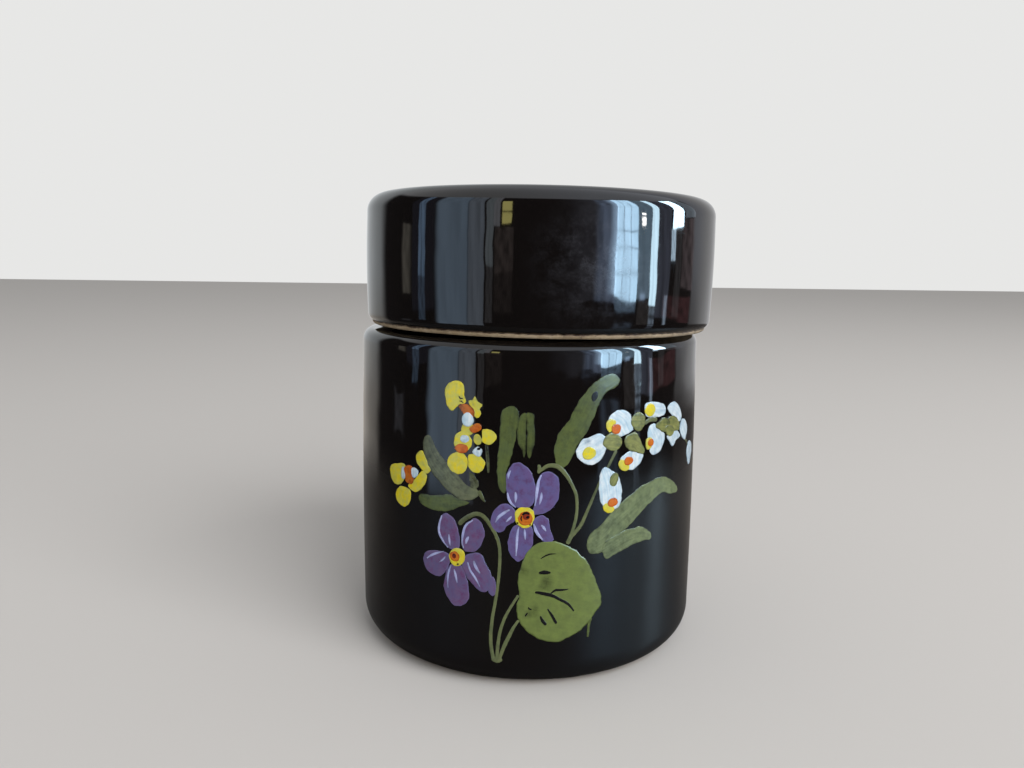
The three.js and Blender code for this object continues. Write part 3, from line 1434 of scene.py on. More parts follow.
SPRAY = (
    Motif("leaf_blades", Paint.BLADE_GREEN, (
        Blot(((-12.5, 40.1), (-14.9, 40.6), (-17.0, 41.2), (-20.8, 40.6), (-24.1, 40.3),
            (-24.6, 39.2), (-23.4, 38.0), (-20.8, 37.4), (-18.0, 37.5), (-15.0, 38.7)), 2,
            (0.3, 0.15, 0.25), 0.03),
        Blot(((-5.3, 42.6), (-4.9, 43.9), (-5.0, 46.5), (-4.4, 49.0), (-3.7, 51.8), (-3.0, 55.4),
            (-2.5, 58.8), (-3.1, 60.0), (-4.1, 60.4), (-5.3, 60.1), (-6.2, 58.6), (-6.4, 54.5),
            (-6.7, 50.0), (-6.8, 46.0), (-6.3, 43.6)), 1, (0.15, 0.1, 0.25), 0.03),
        Blot(((-1.5, 50.0), (-1.1, 52.5), (-1.2, 55.8), (-1.1, 58.9), (-2.0, 58.9), (-2.8, 57.4),
            (-2.9, 54.9), (-2.7, 52.9), (-2.0, 51.6)), 2, (0.55, 0.3, 0.2), 0.03),
        Blot(((-0.4, 49.9), (0.2, 51.4), (0.6, 53.6), (0.4, 56.5), (0.3, 58.7), (-0.4, 59.2),
            (-1.2, 58.9), (-1.0, 56.0), (-1.0, 53.0), (-0.9, 50.9)), 3, (0.5, 0.25, 0.25), 0.03,
            ((-1.2, 57.2, 0.6), (-1.1, 55.0, 0.6))),
        Blot(((5.9, 48.0), (5.0, 48.8), (4.6, 50.4), (4.5, 52.3), (5.2, 54.8), (7.0, 57.1),
            (8.4, 59.7), (9.9, 62.3), (12.2, 64.8), (14.7, 66.3), (16.6, 66.7), (17.9, 66.1),
            (18.4, 65.1), (17.4, 64.1), (15.1, 62.9), (13.7, 60.6), (12.5, 58.0), (11.3, 55.5),
            (9.3, 52.7), (8.2, 50.3), (7.1, 48.6)), 1, (0.0, 0.1, 0.2, 0.3, 0.1), 0.03),
    )),
    Motif("grey_leaf_blade", Paint.GREY_BLADE_GREEN, (
        Blot(((-10.5, 42.0), (-10.9, 42.9), (-13.3, 43.8), (-14.9, 45.4), (-17.2, 47.6),
            (-19.1, 49.2), (-20.6, 51.1), (-21.6, 52.8), (-22.5, 53.2), (-23.3, 52.3),
            (-23.5, 50.3), (-22.9, 47.9), (-21.0, 45.2), (-19.0, 43.4), (-16.3, 41.3),
            (-13.9, 40.5), (-11.6, 40.9)), 1, (0.0, 0.25, 0.35, 0.3), 0.03),
        Blot(((-12.5, 46.1), (-11.9, 45.1), (-10.7, 45.0), (-10.4, 43.8), (-11.4, 42.9),
            (-12.4, 43.7)), 1, (0.6, 0.4), 0.02),
    )),
    Motif("pale_leaf_blades", Paint.PALE_BLADE_GREEN, (
        Blot(((11.8, 30.8), (12.0, 33.4), (14.8, 35.7), (17.5, 38.5), (19.8, 40.0), (22.3, 41.5),
            (25.6, 42.8), (29.0, 43.4), (32.0, 43.3), (35.1, 41.8), (37.4, 40.2), (37.8, 38.8),
            (35.3, 38.9), (31.3, 39.8), (28.0, 38.8), (24.5, 36.6), (21.9, 34.7), (19.7, 33.3),
            (17.5, 31.0), (15.0, 29.7), (12.7, 29.4)), 1, (0.3, 0.35, 0.25, 0.15, 0.1), 0.03),
        Blot(((15.0, 29.8), (15.5, 31.5), (17.5, 32.6), (20.0, 33.5), (23.9, 33.8), (26.4, 32.8),
            (28.0, 31.4), (27.6, 30.2), (25.4, 30.3), (22.7, 30.1), (20.2, 29.4), (17.8, 28.5),
            (16.0, 28.1)), 2, (0.3, 0.3, 0.2), 0.03),
    )),
    Motif("stems", Paint.STEM_GREEN, (
        Stroke(((-14.8, 35.2), (-13.7, 36.4), (-11.9, 37.6), (-10.6, 37.9), (-9.2, 37.2),
            (-7.2, 34.3), (-6.2, 31.3), (-6.1, 27.3), (-6.5, 22.6), (-7.0, 19.0), (-7.6, 15.0),
            (-7.8, 10.6), (-7.2, 6.7)), (1.0, 0.85, 0.68, 0.64, 0.64, 0.72, 0.80), 2,
            (0.3, 0.1, 0.0, 0.0, 0.0)),
        Stroke(((-2.2, 21.2), (-3.6, 18.8), (-4.9, 16.2), (-5.8, 13.4), (-6.3, 10.2), (-6.5, 6.8)),
            (0.55, 0.65, 0.75)),
        Stroke(((-2.1, 15.8), (-3.2, 14.0), (-4.1, 12.0), (-5.0, 9.9), (-6.0, 7.0)),
            (0.55, 0.8, 0.7), 3),
        Stroke(((-7.6, 6.9), (-6.4, 6.5), (-5.4, 7.0)), (0.7, 0.85, 0.65), 4),
        Stroke(((1.3, 47.2), (2.1, 47.7), (3.1, 48.4), (4.4, 48.5), (5.6, 48.0), (6.9, 46.6),
            (8.3, 44.2), (9.2, 41.8), (9.3, 38.5), (8.7, 35.4), (7.6, 32.2)),
            (0.6, 0.9, 0.7, 0.65, 0.65, 0.75), 3),
        Stroke(((1.4, 46.9), (1.6, 47.8), (1.4, 48.7)), (0.65, 0.75, 0.6), 2),
        Stroke(((7.5, 32.0), (8.2, 33.5), (10.2, 35.8), (12.0, 39.8), (14.2, 44.7), (16.1, 47.9),
            (17.8, 50.9)), (0.9, 0.75, 0.6, 0.55, 0.7), 2, (0.0, 0.1, 0.3, 0.35, 0.2)),
        Stroke(((-9.1, 52.4), (-8.9, 50.6), (-8.7, 48.4), (-8.6, 46.6)), (0.6, 0.7, 0.4), 1,
            (0.6, 0.65)),
        Stroke(((-12.6, 46.4), (-11.6, 45.4), (-11.1, 44.2)), (0.6, 0.7, 0.4), 1, (0.6,)),
        Stroke(((-10.6, 42.8), (-9.9, 41.5), (-9.2, 40.5)), (0.9, 0.8, 0.3), 2, (0.3, 0.5)),
        Stroke(((25.0, 55.8), (26.5, 56.4), (28.8, 56.3)), (0.9, 0.9, 1.1), 2, (0.1,)),
        Stroke(((41.2, 50.0), (42.4, 49.4), (43.6, 48.3)), (0.4, 0.5, 0.4), 1, (0.3,)),
    )),
    Motif("violet_left_petals", Paint.PLUM_VIOLET, (
        Blot(((-15.2, 29.7), (-17.0, 29.9), (-18.9, 31.5), (-19.6, 33.7), (-19.1, 36.1),
            (-17.8, 37.2), (-16.3, 36.5), (-15.1, 34.7), (-14.5, 31.5)), 1, (0.1, 0.0, 0.05)),
        Blot(((-13.7, 30.0), (-14.2, 31.4), (-13.8, 34.0), (-12.6, 36.1), (-11.0, 36.9),
            (-9.9, 36.2), (-9.3, 34.3), (-9.6, 32.2), (-11.0, 30.1), (-12.4, 29.7)), 2,
            (0.1, 0.0, 0.05)),
        Blot(((-17.0, 28.6), (-19.0, 28.9), (-22.1, 28.4), (-23.2, 26.9), (-22.9, 24.6),
            (-21.3, 23.3), (-18.9, 23.5), (-17.6, 25.0), (-16.7, 27.3)), 2, (0.1, 0.05, 0.15)),
        Blot(((-15.6, 26.6), (-14.3, 26.4), (-12.9, 23.4), (-12.4, 20.4), (-13.3, 18.3),
            (-15.1, 17.4), (-16.9, 18.3), (-18.1, 20.7), (-18.0, 23.3), (-17.0, 26.0)), 1,
            (0.1, 0.0, 0.1)),
        Blot(((-13.8, 28.3), (-11.9, 29.4), (-10.0, 29.4), (-8.9, 27.5), (-7.6, 24.6),
            (-7.8, 22.7), (-9.0, 21.4), (-10.9, 22.0), (-13.1, 24.4), (-14.0, 26.4)), 2,
            (0.1, 0.0, 0.1)),
        Blot(((-8.1, 24.5), (-7.3, 24.8), (-6.8, 23.3), (-6.9, 21.4), (-7.6, 20.7), (-8.4, 22.0)),
            3, (0.15,)),
    )),
    Motif("violet_left_lights", Paint.PALE_LILAC, (
        light((-18.7, 36.6), (-19.3, 34.5), (-19.3, 32.8), (-18.5, 31.3), (-17.2, 29.9),
            width=0.5),
        light((-17.0, 32.8), (-16.9, 31.4), (-16.7, 30.4)),
        light((-11.7, 36.5), (-13.1, 35.4), (-13.8, 33.6), (-14.0, 31.6), (-13.7, 30.3),
            width=0.5),
        light((-12.6, 32.9), (-13.0, 32.2), (-13.2, 31.3), width=0.6),
        light((-22.4, 26.6), (-21.1, 27.6), (-19.5, 28.4), (-18.2, 28.9)),
        light((-17.8, 27.9), (-18.5, 27.0), (-19.4, 26.3), width=0.32, dry=0.45),
        light((-16.5, 26.2), (-17.1, 24.5), (-17.3, 22.7), (-17.2, 21.1), width=0.4),
        light((-15.8, 25.4), (-15.4, 23.9), (-15.1, 22.6)),
        light((-12.8, 27.4), (-12.2, 25.7), (-11.2, 24.3), (-10.1, 22.4)),
        light((-11.5, 27.9), (-11.0, 26.5), (-10.1, 25.3), width=0.6, dry=0.45),
    )),
    Motif("violet_left_heart", Paint.YELLOW, (
        Blot(((-16.8, 27.4), (-16.9, 28.7), (-16.0, 29.9), (-14.7, 30.1), (-13.6, 29.3),
            (-13.4, 28.0), (-14.0, 26.8), (-15.1, 26.2), (-16.2, 26.5)), 6, (0.0,), 0.05),
    )),
    Motif("violet_left_eye", Paint.ORANGE, (
        dab(-15.6, 28.3, 2.2, 2.4, 9, relief=0.03),
    )),
    Motif("violet_left_pupil", Paint.DEEP_RED, (
        dab(-15.7, 28.4, 0.9, 1.1, 11, relief=0.02, dry=0.2),
    )),
    Motif("violet_left_marks", Paint.BLACK_LINES, (
        dab(-14.9, 26.7, 0.5, 0.35, 11, 30, relief=0.01),
    )),
    Motif("violet_right_petals", Paint.VIOLET, (
        Blot(((-1.8, 39.5), (-3.7, 40.6), (-5.0, 43.0), (-4.8, 46.5), (-3.9, 48.5), (-2.7, 49.0),
            (-1.2, 48.4), (0.2, 46.7), (0.9, 43.3), (0.1, 40.3)), 1, (0.1, 0.0, 0.0)),
        Blot(((0.6, 38.6), (0.7, 41.0), (1.1, 43.8), (1.9, 46.6), (3.0, 47.2), (4.3, 47.0),
            (5.4, 45.8), (5.6, 43.3), (5.3, 41.2), (3.9, 39.3), (2.2, 38.5)), 2, (0.1, 0.0, 0.05)),
        Blot(((-3.0, 38.6), (-3.2, 36.9), (-4.6, 35.8), (-5.4, 34.8), (-6.7, 34.4), (-7.8, 35.4),
            (-8.1, 36.8), (-7.4, 38.6), (-6.1, 40.1), (-4.4, 40.3)), 2, (0.1, 0.0, 0.1)),
        Blot(((-1.6, 36.2), (0.2, 35.9), (0.5, 33.6), (0.4, 31.6), (-0.6, 29.7), (-2.0, 28.4),
            (-3.1, 28.7), (-4.3, 31.0), (-4.2, 33.6), (-3.2, 36.0)), 1, (0.1, 0.0, 0.05)),
        Blot(((0.6, 37.4), (2.0, 38.3), (3.4, 37.5), (3.9, 35.7), (4.6, 33.3), (4.1, 32.6),
            (2.8, 32.7), (1.6, 33.8), (0.7, 35.8)), 2, (0.1, 0.0, 0.1)),
    )),
    Motif("violet_right_lights", Paint.PALE_LILAC, (
        light((-4.7, 42.8), (-4.4, 41.5), (-3.8, 40.5), (-3.0, 39.8), width=0.5, dry=0.0),
        light((-4.1, 47.4), (-4.5, 46.7), (-4.6, 45.7), width=0.5, dry=0.3),
        light((-3.1, 43.0), (-3.0, 42.0), (-3.1, 40.8), width=0.55),
        light((2.0, 46.6), (1.5, 45.4), (1.2, 43.5), (1.0, 41.6), (0.8, 40.2), width=0.6, dry=0.0),
        light((2.1, 43.0), (2.0, 41.9), (1.7, 40.5), width=0.5),
        light((-4.2, 39.3), (-5.4, 38.5), (-6.4, 37.6), (-7.1, 36.4), width=0.6, dry=0.4),
        light((-3.8, 37.9), (-4.4, 37.2), (-4.9, 36.7)),
        light((-2.3, 35.8), (-2.6, 34.1), (-2.7, 32.0), (-2.8, 29.6), width=0.5),
        light((-1.2, 35.3), (-1.1, 34.2), (-1.0, 33.1)),
        light((0.6, 36.5), (1.1, 35.0), (1.7, 34.0), (2.5, 33.1), width=0.6, dry=0.1),
        light((2.1, 36.2), (2.6, 35.7), (3.1, 34.9), width=0.5),
    )),
    Motif("violet_right_heart", Paint.YELLOW, (
        Blot(((-3.3, 37.6), (-3.0, 39.0), (-1.9, 39.9), (-0.4, 39.8), (0.6, 38.9), (0.7, 37.4),
            (0.1, 36.1), (-1.3, 35.5), (-2.6, 36.1)), 6, (0.0,), 0.05),
    )),
    Motif("violet_right_eye", Paint.ORANGE, (
        dab(-1.0, 37.6, 3.0, 3.0, 9, relief=0.03),
    )),
    Motif("violet_right_pupil", Paint.DEEP_RED, (
        dab(-0.9, 38.0, 1.6, 1.5, 11, relief=0.02),
    )),
    Motif("violet_right_marks", Paint.BLACK_LINES, (
        Stroke(((-1.7, 38.3), (-1.0, 38.8), (-0.2, 38.5)), (0.3, 0.55, 0.35), 13, relief=0.01),
        Stroke(((-1.8, 38.1), (-1.9, 37.5), (-1.7, 37.0)), (0.25, 0.3, 0.15), 13, relief=0.01),
        dab(-0.6, 37.9, 0.7, 0.5, 13, 20, relief=0.01),
        dab(-2.6, 36.6, 0.4, 0.35, 11, relief=0.01),
        dab(-0.1, 36.3, 0.3, 0.3, 11, relief=0.01),
    )),
    Motif("round_leaf", Paint.LEAF_GREEN, (
        Blot(((-2.1, 21.6), (-2.4, 24.2), (-1.6, 27.9), (-0.7, 30.5), (1.4, 32.3), (4.4, 32.8),
            (7.7, 31.7), (11.0, 28.9), (13.1, 25.6), (14.4, 22.1), (15.1, 20.0), (14.9, 18.0),
            (13.4, 15.9), (11.4, 13.8), (9.0, 12.1), (5.8, 11.0), (2.5, 11.5), (-0.5, 13.5),
            (-2.3, 16.6), (-2.5, 19.0)), 4, (0.0,), 0.05, ((-1.3, 26.6, 1.2), (0.6, 17.6, 1.3),
            (3.4, 23.6, 1.6))),
    )),
    Motif("round_leaf_drip", Paint.LEAF_GREEN, (
        Stroke(((12.9, 15.6), (12.6, 14.4), (12.5, 13.0), (12.4, 11.4)), (0.9, 0.6, 0.5, 0.45), 1,
            (0.3, 0.45)),
    )),
    Motif("round_leaf_lines", Paint.BLACK_LINES, (
        Stroke(((1.1, 22.0), (2.6, 21.7), (4.5, 21.2), (6.3, 20.2), (8.0, 19.1), (9.2, 17.5)),
            (0.5, 0.75, 0.6, 0.55, 0.3), 7, (0.15, 0.0, 0.0), 0.01),
        Stroke(((4.3, 21.6), (5.2, 22.3), (6.6, 22.3), (7.9, 22.4)), (0.25, 0.5, 0.45, 0.2), 7,
            (0.0,), 0.01),
        Stroke(((1.8, 26.1), (2.9, 26.2), (4.2, 26.1)), (0.45, 0.9, 0.35), 7, (0.1,), 0.01),
        Stroke(((2.3, 16.8), (2.7, 15.8), (3.5, 14.8)), (0.35, 0.65, 0.6), 7, (0.0,), 0.01),
        Stroke(((3.7, 18.3), (4.6, 16.9), (5.6, 15.0)), (0.3, 0.55, 0.6), 7, (0.0,), 0.01),
        Stroke(((-0.2, 18.7), (0.1, 18.3), (0.5, 18.2)), (0.25, 0.35, 0.25), 7, (0.3,), 0.01),
        Stroke(((-0.3, 17.5), (-0.6, 17.1), (-0.8, 16.7)), (0.25, 0.35, 0.2), 7, (0.3,), 0.01),
        Stroke(((2.1, 29.1), (3.2, 29.8), (4.2, 30.1), (5.2, 30.1)), (0.15, 0.3, 0.3, 0.1), 7,
            (0.55,), 0.01),
        dab(12.6, 62.3, 1.3, 2.3, 4, -22, 0.01),
        dab(-10.6, 51.5, 0.8, 0.55, 10, 20, 0.01),
        Stroke(((-15.0, 61.9), (-14.6, 61.4), (-14.1, 61.5)), (0.15, 0.3, 0.2), 6, (0.1,), 0.01),
        Stroke(((-14.9, 60.9), (-14.4, 60.9), (-14.0, 60.6)), (0.1, 0.25, 0.2), 6, (0.2,), 0.01),
    )),
    Motif("yellow_blossoms", Paint.YELLOW, (
        Blot(((-16.2, 58.9), (-17.2, 59.3), (-17.9, 60.3), (-18.2, 62.0), (-18.0, 63.5),
            (-17.0, 64.6), (-15.6, 65.0), (-14.3, 64.6), (-13.8, 63.5), (-13.8, 61.9),
            (-13.4, 60.8), (-14.4, 60.1), (-15.4, 59.8)), 2, (0.0,), 0.06, ((-14.4, 61.6, 0.7),)),
        Blot(((-11.6, 58.0), (-11.8, 59.3), (-12.6, 60.2), (-12.9, 61.2), (-12.2, 61.3),
            (-11.5, 62.2), (-11.0, 61.1), (-9.9, 60.4), (-10.6, 59.6), (-10.2, 58.8),
            (-10.8, 57.8)), 2, (0.1, 0.2), 0.05, ((-11.8, 60.3, 0.5),)),
        Blot(((-10.0, 52.9), (-10.0, 54.0), (-9.9, 55.4), (-8.6, 55.5), (-7.3, 54.9), (-7.2, 53.5),
            (-8.4, 52.5))),
        dab(-13.0, 55.3, 2.7, 2.9, 1, dry=0.2),
        dab(-10.9, 53.3, 1.7, 2.2, 1, dry=0.45),
        dab(-14.1, 52.6, 3.8, 4.2, 2),
        Blot(((-15.2, 50.4), (-13.6, 50.1), (-12.9, 48.6), (-13.3, 46.9), (-14.9, 45.8),
            (-16.6, 46.3), (-17.6, 48.0), (-16.9, 49.6)), 2),
        Blot(((-12.7, 50.1), (-11.1, 50.3), (-9.4, 49.1), (-9.5, 47.6), (-10.8, 46.5),
            (-12.4, 47.1), (-12.9, 48.6)), 3),
        Blot(((-28.9, 45.9), (-28.5, 43.9), (-29.3, 42.0), (-31.0, 41.0), (-32.9, 41.5),
            (-33.9, 43.5), (-33.2, 45.0), (-31.0, 45.6)), 2),
        Blot(((-22.4, 44.8), (-24.2, 46.0), (-25.5, 47.6), (-24.9, 49.0), (-23.8, 49.6),
            (-23.0, 48.7), (-22.2, 47.0), (-21.5, 45.9)), 3, (0.1,), 0.05, ((-23.3, 46.8, 0.6),)),
        Blot(((-22.5, 44.6), (-22.8, 42.9), (-24.5, 41.0), (-26.4, 40.5), (-27.8, 41.5),
            (-26.2, 42.6), (-25.0, 44.0), (-23.6, 45.4)), 4),
        Blot(((-28.9, 41.0), (-27.2, 40.5), (-27.0, 38.6), (-28.2, 36.9), (-29.8, 36.5),
            (-31.6, 37.7), (-31.5, 39.6), (-30.3, 40.8)), 2),
    )),
    Motif("yellow_blossom_eyes", Paint.ORANGE, (
        Blot(((-15.0, 60.0), (-13.9, 60.4), (-12.4, 60.0), (-11.7, 59.0), (-12.0, 57.8),
            (-13.3, 58.0), (-14.3, 58.8)), 5, (0.4, 0.25, 0.35), 0.02),
        Blot(((-10.9, 56.8), (-10.1, 56.2), (-10.2, 55.3), (-11.8, 54.6), (-12.7, 55.4),
            (-11.9, 56.4)), 7, relief=0.03),
        dab(-14.2, 51.2, 2.9, 2.0, 6, 4, 0.03),
        Blot(((-27.4, 45.9), (-26.3, 45.3), (-26.5, 44.1), (-26.0, 43.0), (-26.8, 41.9),
            (-28.4, 42.3), (-28.5, 43.8), (-28.8, 45.1)), 8, (0.15,), 0.03),
    )),
    Motif("yellow_blossom_lights", Paint.BLUISH_WHITE, (
        Blot(((-13.0, 58.8), (-12.1, 58.2), (-11.7, 57.2), (-12.2, 56.2), (-13.5, 56.0),
            (-14.3, 57.0), (-14.0, 58.1)), 7),
        dab(-13.6, 53.3, 2.0, 1.6, 7, 15, 0.03, 0.1),
        Blot(((-10.9, 51.9), (-9.9, 51.3), (-10.1, 50.2), (-11.0, 49.9), (-11.9, 50.9)), 7, (0.1,),
            0.05),
        Blot(((-26.0, 45.8), (-24.8, 45.1), (-25.2, 43.9), (-26.3, 43.6), (-26.8, 45.0)), 9),
        Stroke(((-29.2, 45.3), (-29.1, 44.0), (-29.3, 42.6)), (1.0, 1.5, 0.9), 6, (0.3, 0.2, 0.5),
            0.02),
    )),
    Motif("white_bells", Paint.BLUISH_WHITE, (
        Blot(((15.6, 53.2), (15.3, 50.9), (14.2, 49.3), (12.6, 48.3), (10.8, 48.6), (9.3, 50.0),
            (9.0, 51.7), (10.0, 53.4), (11.6, 54.1), (14.0, 54.6)), 2, (0.1, 0.05, 0.0), 0.05,
            ((11.3, 53.1, 0.8),)),
        Blot(((20.6, 54.2), (21.9, 54.8), (21.4, 56.4), (21.0, 58.2), (19.6, 59.1), (17.6, 59.1),
            (15.9, 57.9), (15.7, 56.4), (16.8, 55.2), (18.5, 53.8)), 2, (0.05,)),
        Blot(((21.5, 50.6), (23.3, 49.7), (24.8, 49.3), (24.3, 48.0), (23.2, 46.9), (21.6, 46.2),
            (20.0, 47.0), (18.7, 48.2), (19.4, 49.5)), 2, (0.1,)),
        Blot(((15.2, 47.6), (16.7, 46.9), (18.0, 46.0), (18.8, 44.6), (19.4, 41.6), (18.9, 39.3),
            (17.3, 38.4), (15.8, 38.4), (14.4, 40.5), (14.0, 43.4), (14.2, 46.5)), 3, (0.05,)),
        Blot(((24.8, 58.7), (25.1, 59.9), (26.6, 60.2), (29.2, 59.8), (31.2, 59.0), (31.6, 57.4),
            (29.6, 56.7), (27.3, 57.0), (25.4, 57.3)), 2, (0.05, 0.1)),
        Blot(((28.0, 55.5), (29.6, 53.9), (31.6, 52.7), (31.2, 50.9), (29.6, 48.9), (27.7, 48.8),
            (26.6, 49.6), (26.8, 50.9), (25.9, 52.4), (26.2, 54.6)), 2, (0.05, 0.15)),
        Blot(((32.4, 58.3), (34.1, 59.3), (35.7, 59.1), (37.8, 57.6), (38.9, 55.8), (38.0, 54.5),
            (36.1, 55.4), (34.0, 56.6)), 3, (0.1,)),
        Blot(((39.2, 54.8), (41.2, 54.3), (42.6, 52.3), (41.4, 50.1), (39.4, 50.8), (38.1, 52.7)),
            4, (0.1,)),
        Blot(((34.9, 53.4), (36.8, 52.6), (38.3, 51.3), (36.3, 50.6), (34.9, 49.5), (33.4, 50.9),
            (32.4, 52.1)), 5, (0.15,)),
        Blot(((44.6, 49.0), (47.0, 48.0), (47.4, 46.2), (46.4, 44.4), (45.1, 43.4), (43.6, 44.7),
            (42.9, 47.2)), 3, (0.1,)),
    )),
    Motif("white_bell_hearts", Paint.YELLOW, (
        dab(11.6, 50.7, 2.9, 2.9, 6),
        Blot(((15.1, 56.6), (16.2, 57.6), (17.4, 57.0), (17.1, 55.7), (15.9, 54.9)), 6),
        Stroke(((18.8, 48.8), (19.5, 47.6), (21.0, 46.8)), (1.5, 2.0, 1.4), 6),
        Stroke(((15.5, 40.0), (16.0, 38.9), (17.6, 38.5)), (1.3, 1.8, 1.2), 6),
        dab(26.5, 58.5, 3.3, 2.7, 6),
        dab(26.4, 51.4, 2.3, 2.7, 6, -20, dry=0.1),
    )),
    Motif("white_bell_eyes", Paint.ORANGE, (
        dab(17.6, 55.4, 2.3, 2.1, 10, relief=0.03),
        dab(20.8, 48.4, 2.3, 1.9, 10, relief=0.03),
        dab(17.2, 40.0, 2.4, 1.8, 10, relief=0.03),
        dab(26.8, 51.6, 1.8, 1.5, 10, relief=0.03),
    )),
    Motif("white_bell_caps", Paint.BELL_CAP_GREEN, (
        Blot(((14.6, 52.8), (15.2, 53.9), (16.2, 54.6), (17.6, 54.4), (18.9, 53.3), (18.9, 51.9),
            (17.8, 50.9), (16.3, 51.0), (15.1, 51.8)), 6, (0.1,)),
        Blot(((21.1, 56.4), (21.8, 57.9), (23.3, 58.3), (24.7, 57.5), (25.2, 56.3), (24.6, 55.2),
            (23.5, 54.4), (22.2, 54.9)), 6, (0.1, 0.2)),
        Blot(((19.7, 52.1), (20.0, 53.5), (21.3, 54.2), (22.6, 54.2), (23.5, 53.1), (24.5, 51.3),
            (25.1, 50.1), (24.6, 49.4), (23.1, 49.9), (21.1, 50.6)), 7, (0.2, 0.1)),
        Blot(((31.4, 55.6), (33.9, 56.4), (36.6, 55.3), (37.8, 53.9), (37.4, 52.7), (35.5, 52.8),
            (33.7, 53.4), (32.3, 54.2)), 7, (0.25, 0.2)),
        Blot(((28.2, 54.9), (29.4, 55.8), (31.1, 56.4), (32.8, 55.6), (33.3, 54.3), (32.5, 53.3),
            (30.9, 53.3), (29.3, 54.1)), 9, (0.2, 0.3)),
        Blot(((31.4, 54.4), (33.2, 54.4), (34.9, 53.4), (34.6, 52.3), (33.4, 51.9), (32.1, 52.8)),
            11, (0.15,)),
        Blot(((16.4, 44.4), (16.6, 45.7), (17.5, 46.5), (18.3, 46.0), (18.3, 44.9), (17.7, 43.7),
            (16.8, 43.6)), 7, (0.15,)),
    )),
)


# The studio

Fade = tuple[float, float]  # where a mask starts, and how wide its fade is


@dataclass(frozen=True)
class Softbox:
    """A flat soft light that stands upright beyond the floor, seen in the glaze as a panel.

    Its sides are directions round the jar in degrees, from the front towards the right, and its
    foot and head are degrees above the height that it is seen from.
    """

    left: float
    right: float
    foot: float
    head: float
    colour: Colour
    brightness: float
    panes: tuple[int, int] = (1, 1)
    uneven: float = 0.0
    soft: tuple[float, float] = (0.0, 0.0)  # the shares of its width over which its sides fade
    distance: float = 1.6
    eye_height: float = 0.088
    bar: float = 0.07  # the width of the bars between its panes, as a share of a pane
    bar_dark: float = 0.8
    clouds: Cloud = Cloud(0.3, 3.0, soft=0.4)

    def build(self, name: str) -> None:
        """Adds the light, facing the jar.

        Args:
            name: The light's name.
        """
        middle = math.radians((self.left + self.right) / 2)
        half = math.radians((self.right - self.left) / 2)
        low = self.distance * math.tan(math.radians(self.foot))
        high = self.distance * math.tan(math.radians(self.head))
        width, height = 2 * self.distance * math.tan(half), high - low
        upright = self.eye_height + (low + high) / 2
        place = (self.distance * math.sin(middle), -self.distance * math.cos(middle), upright)
        facing = (math.pi / 2, 0, middle)
        bpy.ops.object.light_add(type="AREA", location=place, rotation=facing)
        lamp = made(name)
        lamp.visible_camera = lamp.visible_diffuse = False
        lamp.data.shape = "RECTANGLE"
        lamp.data.size, lamp.data.size_y = width, height
        lamp.data.color = self.colour
        lamp.data.energy = self.brightness * math.pi * width * height
        if self.panes != (1, 1) or self.uneven or any(self.soft):
            self.frost(lamp)

    def frost(self, lamp: Piece) -> None:
        """Sets bars between the light's panes, fades its sides, and lets its brightness wander.

        Args:
            lamp: The light to dress.
        """
        lamp.data.use_nodes = True
        recipe = Recipe(lamp.data.node_tree)
        at = recipe.add("ShaderNodeNewGeometry", {}, out="Parametric")
        across, up = (recipe.axis(at, axis) for axis in "XY")
        shine = 1.0 - recipe.mask(at, self.clouds) * self.uneven
        for place, count in zip((across, up), self.panes):
            if count > 1:
                from_middle = abs((place * float(count)).fraction() - 0.5)
                bar = from_middle.above(0.5 - self.bar / 2, self.bar)
                shine = shine * (1.0 - bar * self.bar_dark)
        left, right = self.soft
        if left:
            shine = shine * across.above(left / 2, left)
        if right:
            shine = shine * across.below(1 - right / 2, right)
        glow = recipe.add("ShaderNodeEmission", {}, (1.0, 1.0, 1.0), shine)
        recipe.finish(glow, "ShaderNodeOutputLight")


